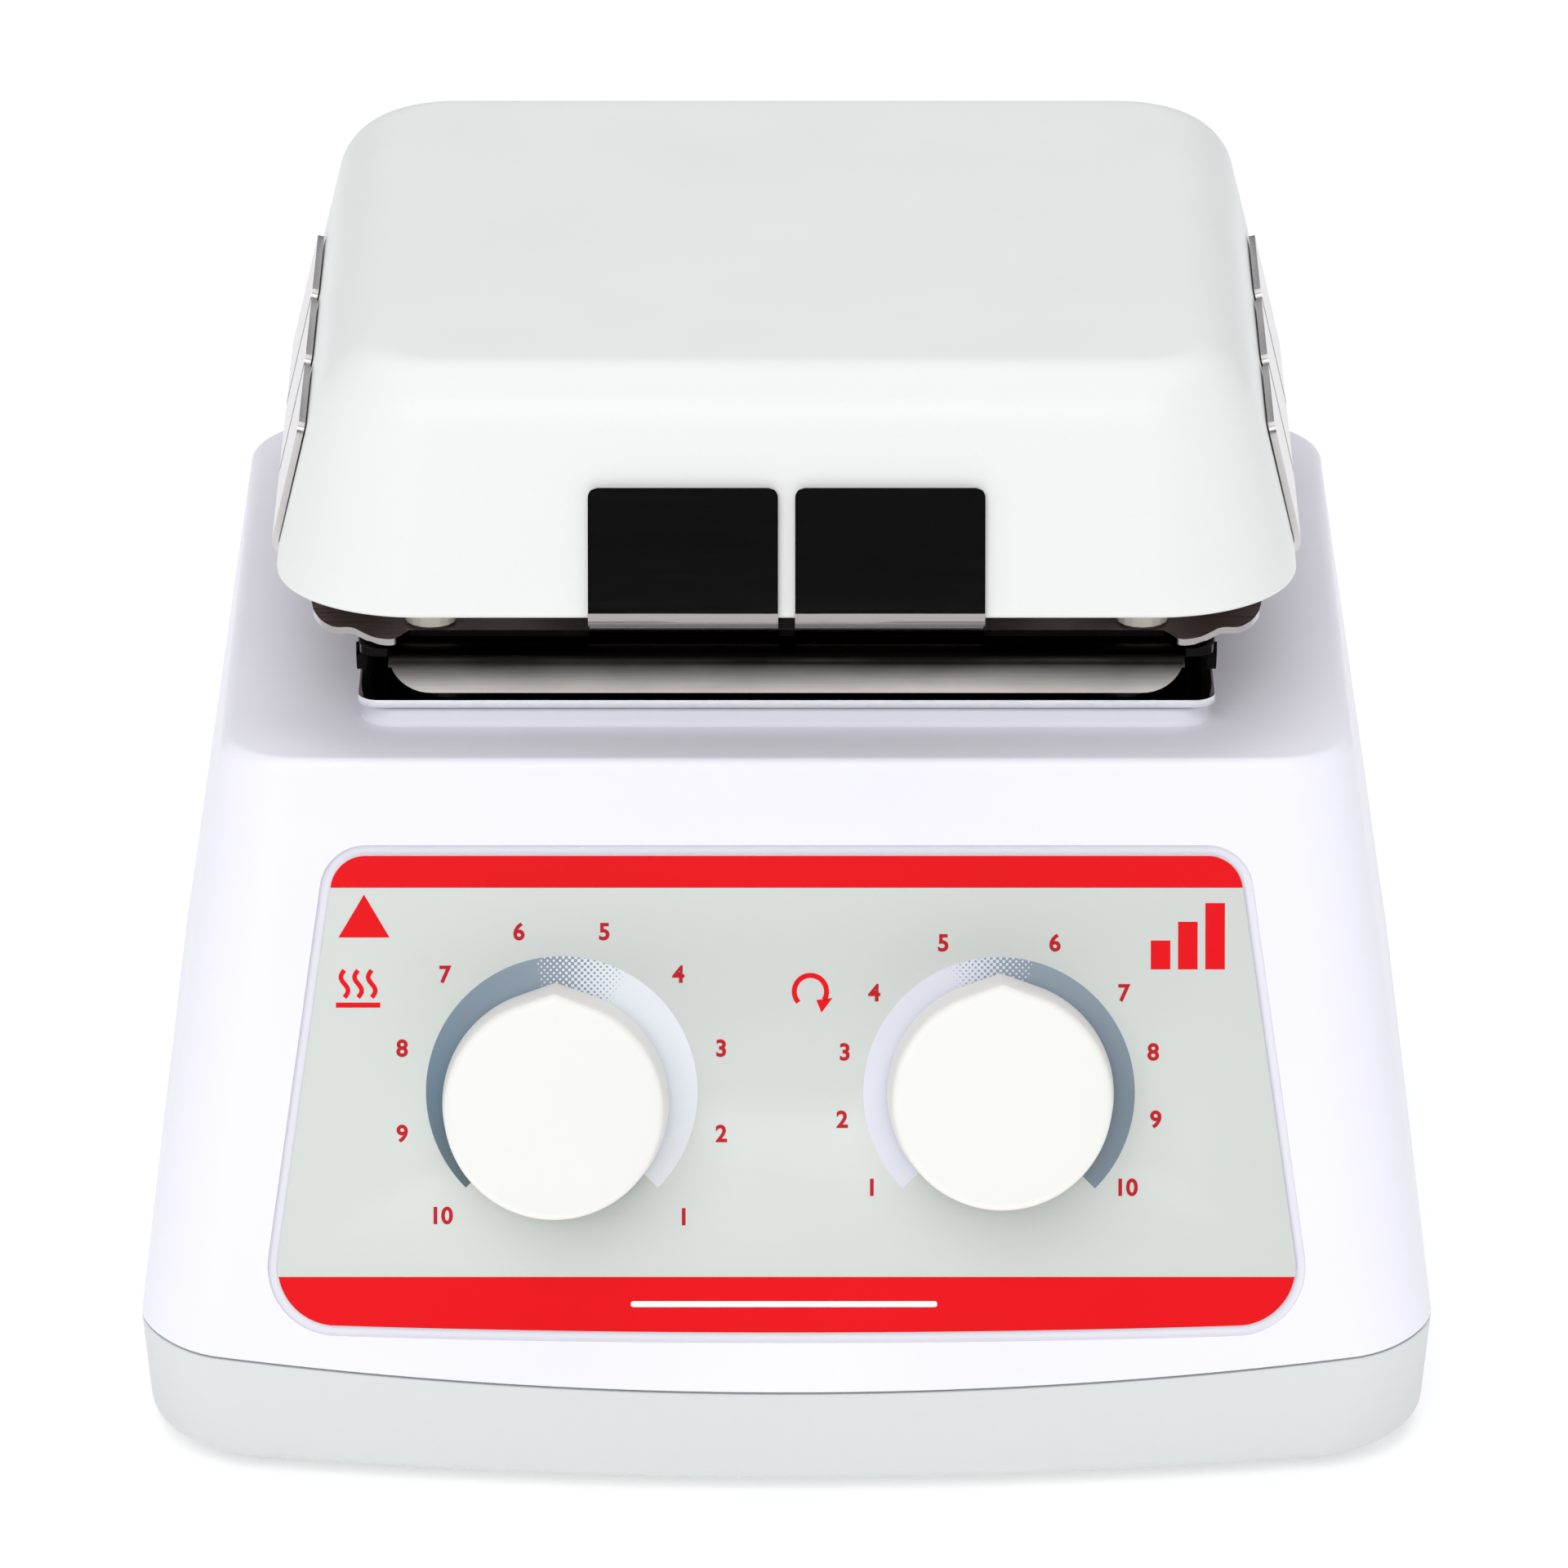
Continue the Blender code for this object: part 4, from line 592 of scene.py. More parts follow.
def base_ring(height, inset, dip=0.0):
    share = (height - FOOT) / (SIDE_SEAM_Z - FOOT)
    half = BASE_W / 2 - BASE_DRAFT * (1 - share) - inset
    front = FRONT_Y + SEAM_BOW * share + (BASE_BOW + BASE_LEAN) * (1 - share) + inset
    bow = SEAM_BOW * share + BASE_BOW * (1 - share)
    corner = BASE_CORNER.lerp(Vector((CORNER_R, CORNER_R)), share) - Vector((inset, inset)) * 0.6
    return body_ring(half, front, BACK_Y - inset, corner, CORNER_R - inset * 0.6, height, bow, dip)


SCREW_PLACES = [(side * 62.5 * MM, y) for side in (-1, 1) for y in (FRONT_Y + 17 * MM, BACK_Y - 12 * MM)]
FOOT_PLACES = [(side * 58.0 * MM, y) for side in (-1, 1) for y in (FRONT_Y + 32 * MM, BACK_Y - 27 * MM)]
CORNERS = ("front_left", "rear_left", "front_right", "rear_right")


def base_shell():
    """Lower shell with a rounded bottom edge, a seam groove at its rim, seats, bosses and vents."""
    rim = SIDE_SEAM_Z - GAP / 2
    rings = [base_ring(FOOT + BASE_EDGE_R * (1 - cos(turn)), BASE_EDGE_R * (1 - sin(turn)))
             for turn in quarter_angles(5)]
    rings += [base_ring(mix(FOOT + BASE_EDGE_R, rim, i / 6), 0.0, SEAM_DIP * (i / 6)) for i in range(1, 6)]
    rings += [base_ring(rim - SEAM_CHAMFER_H, 0.0, SEAM_DIP), base_ring(rim, SEAM_CHAMFER, SEAM_DIP),
              base_ring(rim, WALL, SEAM_DIP), base_ring(FOOT + 3.5 * MM, WALL),
              base_ring(FOOT + 2.8 * MM, WALL + 0.3 * MM), base_ring(FOOT + WALL, WALL + 1.0 * MM)]
    shell = finish_mesh(skin(rings), "base_shell", BASE, sharp=30)
    bosses, tools = [], []
    for i, place in enumerate(SCREW_PLACES):
        bosses.append(rod(f"boss_{i}", 5.0 * MM, FOOT + MM, FOOT + 9 * MM, centre=place, sides=32))
        tools.append(rod(f"bore_{i}", SCREW_HOLE_R, 0, FOOT + 10 * MM, centre=place, sides=24))
        tools.append(rod(f"sink_{i}", 3.6 * MM, 0, FOOT + 4 * MM, centre=place, sides=32))
    for i, place in enumerate(FOOT_PLACES):
        tools.append(rod(f"seat_{i}", 7.8 * MM, 0, FOOT + 1.2 * MM, centre=place, sides=48))
    for i in range(7):
        tools.append(box(f"vent_{i}", (44, 3, 8), (0, AXIS_Y + (i - 3) * 7 * MM, FOOT), edge=1.4 * MM))
    carve(shell, bosses, "UNION")
    carve(shell, tools)
    settle(shell, "housing", "base_grey", "bottom_shell")


def overlay_outline(margin=0.0, steps=12):
    """The overlay's edge, a rounded trapezoid whose bottom edge sags."""
    low, high = OVERLAY_BOTTOM - margin, OVERLAY_TOP + margin
    lean = degrees(atan((OVERLAY_HALF_BOTTOM - OVERLAY_HALF_TOP) / (OVERLAY_TOP - OVERLAY_BOTTOM)))
    half_low, half_high = OVERLAY_HALF_BOTTOM + margin, OVERLAY_HALF_TOP + margin
    r_low, r_high = OVERLAY_R_BOTTOM + margin, OVERLAY_R_TOP + margin
    straight = half_low - r_low * 1.05
    lower = arc((straight, low + OVERLAY_SAG + r_low), r_low, -84, lean, steps)
    upper = arc((half_high - r_high, high - r_high), r_high, lean, 90, steps)
    right = lower + upper
    count = 24
    shares = [2 * i / count - 1 for i in range(1, count)]
    bottom = [(straight * share, low + OVERLAY_SAG * share ** 2) for share in shares]
    return bottom + right + [(-x, y) for x, y in reversed(right)]


def housing_shell():
    """Upper housing, its rings running down the inside and up the outside."""
    lip = SIDE_SEAM_Z + GAP / 2
    seam_front = FRONT_Y + SEAM_BOW
    rings = [body_ring(BASE_W / 2 - SEAM_CHAMFER, seam_front + SEAM_CHAMFER, BACK_Y - SEAM_CHAMFER,
                       CORNER_R, CORNER_R, lip, SEAM_BOW, SEAM_DIP)]
    for i in range(9):
        share = i / 8
        half = mix(BASE_W / 2, side_x(PANEL_FLAT_Z), share)
        front = mix(seam_front, panel_y(PANEL_FLAT_Z), share)
        height = mix(lip + SEAM_CHAMFER_H, PANEL_FLAT_Z, share)
        bow = SEAM_BOW * (1 - share) ** 1.6
        rings.append(body_ring(half, front, BACK_Y, CORNER_R, CORNER_R, height, bow, SEAM_DIP * (1 - share)))
    shoulder = DECK_Z - DECK_EDGE_R
    for i in range(1, 9):
        share = i / 9
        height = mix(PANEL_FLAT_Z, shoulder, share)
        rings.append(body_ring(side_x(height), panel_y(height), BACK_Y, mix(CORNER_R, DECK_R_FRONT, share),
                               mix(CORNER_R, DECK_R_BACK, share), height))
    for turn in quarter_angles(8):
        inset = DECK_EDGE_R * (1 - cos(turn))
        rings.append(body_ring(side_x(shoulder) - inset, panel_y(shoulder) + inset * 0.75, BACK_Y - inset,
                               DECK_R_FRONT, DECK_R_BACK, shoulder + DECK_EDGE_R * sin(turn)))
    # The pad's fillet and rounded edge, as growth and rise in millimetres.
    pad = [(0.9, 0.0), (0.45, 0.12), (0.15, 0.45), (0.0, 1.0)]
    pad += [(-0.5 + 0.5 * cos(a), PAD_H / MM - 0.5 + 0.5 * sin(a)) for a in quarter_angles(5)]
    for grow, rise in pad:
        half = PAD_W / 2 + grow * MM
        corner_r = PAD_CORNER_R + grow * MM
        rings.append(body_ring(half, AXIS_Y - half, AXIS_Y + half, corner_r, corner_r, DECK_Z + rise * MM))
    inner_r = CORNER_R - WALL
    back = BACK_Y - WALL
    inside = [
        body_ring(side_x(CEILING_Z, WALL), panel_y(CEILING_Z, WALL), back, DECK_R_FRONT - WALL,
                  DECK_R_BACK - WALL, CEILING_Z),
        body_ring(side_x(PANEL_FLAT_Z, WALL), panel_y(PANEL_FLAT_Z, WALL), back, inner_r, inner_r,
                  PANEL_FLAT_Z),
        body_ring(BASE_W / 2 - WALL, seam_front + WALL, back, inner_r, inner_r, lip, SEAM_BOW, SEAM_DIP),
    ]
    shell = finish_mesh(skin(inside + rings), "housing_shell", HOUSING, sharp=30)
    tools = [flat_piece("recess", [overlay_outline(OVERLAY_MARGIN)], 4 * MM, HOUSING,
                        on_panel(0, 0, -(OVERLAY_SINK + OVERLAY_T + GAP)))]
    for i, place in enumerate((HEAT_KNOB, STIR_KNOB)):
        tools.append(rod(f"knob_hole_{i}", BUSHING_R + GAP, -8 * MM, 4 * MM, on_panel(*place)))
    low, high = CEILING_Z - MM, DECK_Z + 5 * MM
    tools.append(rod("shaft_hole", SHAFT_HOLE_R, low, high, centre=(0, AXIS_Y)))
    for i, side in enumerate((-1, 1)):
        place = (side * LEAD_X, AXIS_Y + LEAD_Y)
        tools.append(rod(f"lead_hole_{i}", LEAD_HOLE_R, low, high, sides=32, centre=place))
    tools.append(box("inlet_cutout", (29, 24, 33), (INLET_X, BACK_Y, INLET_Z)))
    for row in range(6):
        place = (-30 * MM, BACK_Y, FOOT + (30 + 6 * row) * MM)
        tools.append(box(f"rear_vent_{row}", (46, 12, 2.6), place, edge=1.2 * MM))
    carve(shell, tools)
    settle(shell, "housing", "housing_white", "upper_housing")


# ---- control panel


def clip_band(outline, low, high):
    """The part of an outline between two heights."""
    for keep, level in ((1, low), (-1, high)):
        kept = []
        for a, b in zip(outline, outline[1:] + outline[:1]):
            a_in, b_in = keep * (a[1] - level) >= 0, keep * (b[1] - level) >= 0
            if a_in:
                kept.append(a)
            if a_in != b_in:
                share = (level - a[1]) / (b[1] - a[1])
                kept.append((a[0] + (b[0] - a[0]) * share, level))
        outline = kept
    return outline


def stroke(points, width):
    """The outline of a line of this width drawn through points."""
    left, right = [], []
    for i, point in enumerate(points):
        before = Vector(points[max(i - 1, 0)])
        after = Vector(points[min(i + 1, len(points) - 1)])
        along = (after - before).normalized()
        side = Vector((-along.y, along.x)) * width / 2
        left.append(tuple(Vector(point) + side))
        right.append(tuple(Vector(point) - side))
    return left + right[::-1]


def millimetres(points, at=(0.0, 0.0)):
    return [((x + at[0]) * MM, (y + at[1]) * MM) for x, y in points]


def digit_mesh(name, text, at):
    """A digit or two as a thin print mesh on the panel."""
    curve = bpy.data.curves.new(name, "FONT")
    curve.body = text
    curve.size = DIGIT
    curve.align_x, curve.align_y = "CENTER", "CENTER"
    curve.extrude = PRINT_T / 2
    curve.offset = DIGIT_WEIGHT
    curve.resolution_u = 6
    mesh = drawn_mesh(name, curve)
    mesh.transform(on_panel(*at, PRINT_Z + PRINT_T / 2))
    return mesh


def joined(name, meshes, material):
    shape = bmesh.new()
    for mesh in meshes:
        shape.from_mesh(mesh)
    return finish_mesh(shape, name, material)


def print_mesh(name, outline):
    piece = flat_piece(name, [outline], PRINT_T, RED_INK, on_panel(0, 0, PRINT_Z))
    mesh = piece.data
    bpy.data.objects.remove(piece)
    return mesh


def dial_digits():
    """Ten numbers round each dial, placed by angle in degrees and reach in millimetres."""
    heat = [(-46.0, 20.6), *((angle, 19.4) for angle in range(-15, 210, 30)), (226.0, 20.4)]
    stir = [(angle, 18.7) for angle in (217.0, 190.0, 165.5, 141.5, 110.5, 69.5, 38.5, 14.5, -10.0, -37.0)]
    meshes = []
    for dial, ring, places in (("heat", HEAT_RING, heat), ("stir", STIR_RING, stir)):
        for number, (angle, reach) in enumerate(places, 1):
            turn = radians(angle)
            at = (ring.x + reach * MM * cos(turn), ring.y + reach * MM * sin(turn))
            meshes.append(digit_mesh(f"{dial}_digit_{number}", str(number), at))
    return meshes


def heat_symbol(at):
    """Three rising waves over a bar."""
    shapes = []
    for x in (-1.6, 0.0, 1.6):
        wave = [(x + 0.42 * sin(2 * pi * i / 16), -0.9 + 3.2 * i / 16) for i in range(17)]
        shapes.append(stroke(millimetres(wave, at), 0.55 * MM))
    shapes.append(stroke(millimetres([(-2.6, -1.8), (2.6, -1.8)], at), 0.6 * MM))
    return shapes


def stir_symbol(at):
    """A round arrow."""
    bow = arc((0.0, 0.0), 1.9, -30, 222, 21)
    end_x = bow[0][0]
    head = [(end_x - 0.95, -1.0), (end_x + 0.95, -0.75), (end_x - 0.35, -2.5)]
    return [stroke(millimetres(bow, at), 0.6 * MM), millimetres(head, at)]


def control_panel():
    """The overlay film and all its print but the dial rings."""
    holes = [circle(place.x, place.y, BUSHING_R + GAP) for place in (HEAT_KNOB, STIR_KNOB)]
    film = flat_piece("overlay_sheet", [overlay_outline(), *holes], OVERLAY_T, FILM,
                      on_panel(0, 0, -(OVERLAY_SINK + OVERLAY_T)), edge=0.06 * MM)
    settle(film, "housing", "overlay_grey", "control_overlay")

    outline = overlay_outline(-0.05 * MM, steps=16)
    bands = [clip_band(outline, 59.6 * MM, 99 * MM), clip_band(outline, 0.0, 13.8 * MM)]
    marks = [millimetres([(-52.6, 53.75), (-46.6, 53.75), (-49.6, 58.8)])]
    marks += heat_symbol((-50.3, 47.6)) + stir_symbol((2.8, 47.4))
    for i, top in enumerate((53.4, 55.6, 57.8)):
        left, right = 42.75 + 3.2 * i, 45.05 + 3.2 * i
        marks.append(millimetres([(left, 50.0), (right, 50.0), (right, top), (left, top)]))
    meshes = [print_mesh(f"mark_{i}", mark) for i, mark in enumerate(bands + marks)]
    settle(joined("red_print", meshes, RED_INK), "housing", "overlay_grey")
    settle(joined("dial_numbers", dial_digits(), NUMBER_INK), "housing", "overlay_grey")

    bar = rounded_rectangle(18 * MM, 0.35 * MM, 0.3 * MM, steps=4)
    rule = flat_piece("white_print", [bar], PRINT_T, WHITE_INK,
                      on_panel(-0.3 * MM, 10.6 * MM, PRINT_Z + 0.02 * MM))
    settle(rule, "housing", "overlay_grey")


def dial_ring(name, centre, material):
    """A flat ring open at the bottom, printed round a knob."""
    outline = arc(centre, RING_OUTER_R, -45, 225, 90) + arc(centre, RING_INNER_R, 225, -45, 90)
    ring = flat_piece(name, [outline], PRINT_T, material)
    # The ring's own frame is the panel's, so that its ink can be laid out round the dial.
    ring.matrix_world = on_panel(0, 0, PRINT_Z)
    settle(ring, "housing", "overlay_grey")


def teardrop(radius, tip, height, steps=144):
    """A circle drawn out to a point on one side."""
    points = []
    touch = acos(radius / tip)
    for i in range(steps):
        away = abs((2 * pi * i / steps + pi) % (2 * pi) - pi)
        angle = pi / 2 + 2 * pi * i / steps
        reach = radius / cos(max(touch - away, 0.0))
        points.append(Vector((reach * cos(angle), reach * sin(angle), height)))
    return points


def knob(name, body, place, *nodes):
    """A pointed knob, hollow at the back round its hub."""
    low, top = 0.5 * MM, KNOB_TOP
    chamfer, edge_r, crown = 0.25 * MM, 0.85 * MM, 0.1 * MM
    face_tip = KNOB_FACE_R + 0.8 * MM
    rings = [teardrop(KNOB_R - chamfer, KNOB_TIP - chamfer, low), teardrop(KNOB_R, KNOB_TIP, low + chamfer)]
    for i in range(7):
        share = i / 6
        rings.append(teardrop(mix(KNOB_R, KNOB_FACE_R + 0.05 * MM, share), mix(KNOB_TIP, face_tip, share),
                              mix(low + 1.2 * MM, top - 0.9 * MM, share)))
    for turn in quarter_angles(6)[1:]:
        inset = edge_r * (1 - cos(turn))
        rings.append(teardrop(KNOB_FACE_R - inset, face_tip - inset * 1.2,
                              top - edge_r + (edge_r - crown) * sin(turn)))
    for share in (0.75, 0.5, 0.25, 0.04):
        radius = KNOB_FACE_R * share
        rings.append(teardrop(radius, radius * 1.02, top - crown * share ** 2))
    piece = finish_mesh(skin(rings), name, KNOB, sharp=30)
    groove = millimetres([(10.8, 10.5), (10.8, -1), (0, -1), (0, 5), (5.2, 5), (5.2, 10.5)])
    hollow = spun(f"{name}_hollow", groove, KNOB, closed=True)
    bore = rod(f"{name}_bore", 3.3 * MM, 4 * MM, 11.5 * MM, sides=48)
    carve(piece, [hollow, bore])
    piece.data.transform(on_panel(*place))
    settle(piece, body, "knob_white", *nodes)


# ---- plate stack


def plate_holes(middle_r, fixings):
    """The holes for the shaft, the fixings and the heater leads."""
    holes = [circle(0, 0, middle_r)]
    holes += [circle(x, y, SCREW_HOLE_R, 32) for x, y in fixings]
    holes += [circle(side * LEAD_X, LEAD_Y, LEAD_HOLE_R, 32) for side in (-1, 1)]
    return holes


POSTS = [(x * 40 * MM, y * 40 * MM) for x in (-1, 1) for y in (-1, 1)]
SPACERS = [(x * 42 * MM, y * 44 * MM) for x in (-1, 1) for y in (-1, 1)]


def reflector():
    edge = rounded_rectangle(REFLECTOR_W / 2, REFLECTOR_W / 2, REFLECTOR_CORNER_R)
    plate = flat_piece("reflector_sheet", [edge, *plate_holes(PLATE_HOLE_R, POSTS)], SHEET, SHADED_STAINLESS,
                       at_height(DECK_Z + PAD_H + GAP), edge=0.12 * MM)
    # The plate's cut edge takes the bright copy, a painted highlight.
    dress_faces(plate, EDGE_HIGHLIGHT, lambda face: abs(face.normal.z) < 0.8)
    settle(plate, "housing", "stainless_steel", "reflector_plate")


def bent_apron():
    """An apron that bends down from the pan's sheet, its lower corners rounded."""
    drop = PAN_TOP - PAN_APRON_BOTTOM
    bend_r, inner_r = PAN_BEND_R, PAN_BEND_R - SHEET
    bend = quarter_angles(10)
    columns = 72
    rings = []
    for i in range(columns + 1):
        x = PAN_APRON_HALF * sin(pi / 2 * (2 * i / columns - 1))
        reach = max(0.0, abs(x) - (PAN_APRON_HALF - APRON_CORNER_R))
        low = drop - APRON_CORNER_R + sqrt(max(APRON_CORNER_R ** 2 - reach ** 2, 0.0))
        ring = [(-bend_r * 1.6, 0.0)]
        ring += [(-bend_r + bend_r * sin(a), -bend_r + bend_r * cos(a)) for a in bend]
        ring += [(0.0, -bend_r + (bend_r - low) * share) for share in (0.33, 0.66, 1.0)]
        ring += [(-SHEET, -low), (-SHEET, -bend_r + (bend_r - low) * 0.5)]
        ring += [(-bend_r + inner_r * sin(a), -bend_r + inner_r * cos(a)) for a in bend[::-1]]
        ring += [(-bend_r * 1.6, -SHEET)]
        rings.append([(x, -out, z) for out, z in ring])
    return skin(rings)


def quarter_turn(quarter, y, z):
    """A place moved along y, then turned by quarters round the stirring axis."""
    return at_height(z) @ Matrix.Rotation(radians(90 * quarter), 4, "Z") @ Matrix.Translation((0, y, 0))


def shield_pan():
    """A sheet with four aprons bent down from it."""
    inner, outer = PAN_HALF - 1.2 * PAN_BEND_R, PAN_HALF - 0.4 * MM
    beside = PAN_APRON_HALF + 0.1 * MM
    bend = arc((outer - PAN_CORNER_R, PAN_CORNER_R - outer), PAN_CORNER_R, -70, -20, 5)
    corner = [(beside, -inner), (beside, -outer), *bend, (outer, -beside), (inner, -beside)]
    edge = []
    for quarter in range(4):
        spin = Matrix.Rotation(radians(90 * quarter), 2)
        edge += [tuple(spin @ Vector(point)) for point in corner]
    pan = flat_piece("shield_pan_sheet", [edge, *plate_holes(PLATE_HOLE_R, POSTS)], SHEET - 0.02 * MM,
                     PAN_STEEL, at_height(PAN_TOP - SHEET + 0.01 * MM))
    strips = [finish_mesh(bent_apron(), f"apron_{i}", PAN_STEEL, quarter_turn(i, -PAN_HALF, PAN_TOP))
              for i in range(4)]
    carve(pan, strips, "UNION")
    soften(pan, 0.26 * MM)
    beyond = PAN_APRON_HALF + 0.2 * MM
    # The pan's corner edges beyond the aprons are painted near-black as shade.
    dress_faces(pan, SHADED_EDGE, lambda face: abs(face.center.x) > beyond
                and abs(face.normal.x) < 0.9 and face.normal.z < 0.8)
    settle(pan, "housing", "stainless_steel", "heat_shield_pan")


def skirt_lean():
    """The lean that lets the skirt run smoothly into the rounded edge of the top."""
    run = (SKIRT_W - TOP_FLAT_W) / 2
    rise = TOP_Z - SKIRT_Z
    lean = 0.2
    for _ in range(30):
        drop = rise - TOP_EDGE_R + TOP_EDGE_R * sin(lean)
        lean = atan((run - TOP_EDGE_R * cos(lean)) / drop)
    return lean


def tray_outline():
    """A square tray with an ear at each corner."""
    smooth = [tuple(point) for point in rounded_path(TRAY_CORNER, 1.2 * MM, steps=4)]
    front_right = [(x, -y) for x, y in smooth]
    front = [(-x, y) for x, y in reversed(front_right)] + front_right
    return front + [(-x, -y) for x, y in front]


def rounded_path(points, radius, steps=6):
    """A polyline whose inner corners are rounded."""
    made = [Vector(points[0])]
    for a, b, c in zip(points, points[1:], points[2:]):
        a, b, c = Vector(a), Vector(b), Vector(c)
        to_a, to_c = a - b, c - b
        cut = min(radius, to_a.length * 0.45, to_c.length * 0.45)
        start, end = b + to_a.normalized() * cut, b + to_c.normalized() * cut
        for i in range(steps + 1):
            t = i / steps
            made.append(start * (1 - t) ** 2 + b * 2 * t * (1 - t) + end * t ** 2)
    made.append(Vector(points[-1]))
    return made


def clip_tab(edge):
    """A bent strip: up from the tray, out below the skirt, round its rim and up along it."""
    lean = skirt_lean()
    level = SKIRT_Z - TRAY_Z - GAP - TRAY_T / 2
    bend = (SKIRT_W / 2 + 0.08 * MM + TRAY_T / 2 - TAB_BEND_R, level + TAB_BEND_R)
    rise = [(edge - 2.0 * MM, TRAY_T / 2), (edge + 0.4 * MM, TRAY_T / 2), (edge + 1.6 * MM, level),
            (bend[0], level)]
    path = rounded_path(rise, 0.9 * MM)
    path += [Vector(point) for point in arc(bend, TAB_BEND_R, -81, degrees(lean), 12)]
    path.append(path[-1] + Vector((-sin(lean), cos(lean))) * TAB_H)
    rows = []
    total = sum((b - a).length for a, b in zip(path, path[1:]))
    gone = 0.0
    for i, point in enumerate(path):
        before, after = path[max(i - 1, 0)], path[min(i + 1, len(path) - 1)]
        direction = (after - before).normalized()
        side = Vector((direction.y, -direction.x)) * TRAY_T / 2
        if i:
            gone += (point - path[i - 1]).length
        rows.append((point, side, total - gone))
    # The last stretch is cut finer, to round the tab's corners.
    tail = rows.pop()
    start = rows[-1]
    for share in (0.5, 0.8, 0.9, 0.94, 0.97, 0.985, 1.0):
        rows.append((start[0].lerp(tail[0], share), tail[1], start[2] * (1 - share)))
    rings = []
    for point, side, left in rows:
        half = TAB_W / 2
        if left < TAB_CORNER_R:
            half -= TAB_CORNER_R - sqrt(max(TAB_CORNER_R ** 2 - (TAB_CORNER_R - left) ** 2, 0.0))
        out, back = point + side, point - side
        rings.append([(out.x, -half, out.y), (out.x, half, out.y),
                      (back.x, half, back.y), (back.x, -half, back.y)])
    return skin(rings)


def clip_tray():
    """The tray with its tabs: two in front and behind, three on each side."""
    tray = flat_piece("clip_tray_sheet", [tray_outline(), *plate_holes(TRAY_HOLE_R, SPACERS + POSTS)],
                      TRAY_T - 0.02 * MM, TRAY_STEEL, at_height(TRAY_Z + 0.01 * MM))
    dress_faces(tray, SHADED_STAINLESS, lambda face: abs(face.normal.z) < 0.5)
    # The tray's front and back edges are painted near-black as shade.
    dress_faces(tray, SHADED_EDGE, lambda face: abs(face.center.x) < 45 * MM and abs(face.normal.y) > 0.9)
    tabs = []
    for quarter in range(4):
        count, edge = (2, TRAY_FRONT) if quarter in (1, 3) else (3, TRAY_SIDE)
        for i in range(count):
            stand = quarter_turn(quarter, (i - (count - 1) / 2) * TAB_PITCH, TRAY_Z)
            # Front and back tabs take the darkened steel, which is painted shade.
            brushed = SHADED_STAINLESS if quarter in (1, 3) else POLISHED_SIDE
            tabs.append(finish_mesh(clip_tab(edge), f"tab_{quarter}_{i}", brushed, stand))
    carve(tray, tabs, "UNION")
    settle(tray, "housing", "stainless_steel", "clip_tray")


def top_ring(half, radius, height):
    return [Vector((x, y + AXIS_Y, height)) for x, y in rounded_rectangle(half, half, radius, steps=20)]


def shoulder_rings(inset, steps):
    """Levels of the top's rounded edge, moved inwards by an inset."""
    lean = skirt_lean()
    edge_r = TOP_EDGE_R - inset
    skirt_r = SKIRT_CORNER_R - 3.5 * MM
    rings = []
    for i in range(steps + 1):
        turn = lean + (pi / 2 - lean) * i / steps
        share = cos(turn) / cos(lean)
        radius = FLAT_CORNER_R + (skirt_r - FLAT_CORNER_R) * share - inset * 0.7
        rings.append(top_ring(TOP_FLAT_W / 2 + edge_r * cos(turn), radius,
                              TOP_Z - inset - edge_r + edge_r * sin(turn)))
    return rings


def between(a, b, steps):
    return [[p.lerp(q, i / steps) for p, q in zip(a, b)] for i in range(1, steps)]


def is_unglazed(face):
    """Whether a face of the ceramic shell looks inwards or down."""
    normal = face.normal
    inward = Vector((-face.center.x, AXIS_Y - face.center.y, 0.0))
    ceiling = normal.z < -0.9 and max(abs(inward.x), abs(inward.y)) < SKIRT_W / 2 - 3 * MM
    below = normal.z < 0.3 and face.center.z < TOP_Z - 2 * MM
    return below and (ceiling or inward.dot(normal) > 0.0)


def ceramic_top():
    """The glazed shell, its rings running down the inside, round the rim and up."""
    half = SKIRT_W / 2
    inner = top_ring(half - CERAMIC_T / cos(skirt_lean()), SKIRT_CORNER_R - CERAMIC_T * 0.7, SKIRT_Z)
    rim = []
    for turn in quarter_angles(6):
        inset = SKIRT_EDGE * (1 - sin(turn))
        height = SKIRT_Z + SKIRT_EDGE * (1 - cos(turn))
        rim.append(top_ring(half - inset, SKIRT_CORNER_R - inset, height))
    outside = shoulder_rings(0.0, 20)
    flat = [top_ring(TOP_FLAT_W / 2 - step, max(FLAT_CORNER_R - step, 2 * MM), TOP_Z)
            for step in (1.5 * MM, 4.0 * MM)]
    inside = [inner] + shoulder_rings(CERAMIC_T, 6)
    rings = inside[::-1] + rim + between(rim[-1], outside[0], 6) + outside + flat
    piece = finish_mesh(skin(rings), "ceramic_plate", CERAMIC, sharp=50)
    # The underside is left unglazed, and painted near-black as shade under the plate.
    dress_faces(piece, SHADED_UNDERSIDE, is_unglazed)
    settle(piece, "housing", "glazed_ceramic", "ceramic_top")


# ---- feet and the finishes of the nodes that stay


def feet():
    profile = [(0, 2.9), (7.3, 2.9), (7.5, 2.7), (7.5, 1.9)]
    profile += [(7.0 + 0.5 * cos(a), 0.6 - 0.6 * sin(a)) for a in quarter_angles(6)]
    profile += [(5.0, 0.0), (4.8, 0.15), (2.0, 0.15), (1.8, 0.0), (0, 0)]
    for (x, y), name in zip(FOOT_PLACES, CORNERS):
        foot = spun(f"foot_{name}", millimetres(profile), RUBBER, Matrix.Translation((x, y, 0)))
        settle(foot, "housing", "black_rubber", f"rubber_foot_{name}")


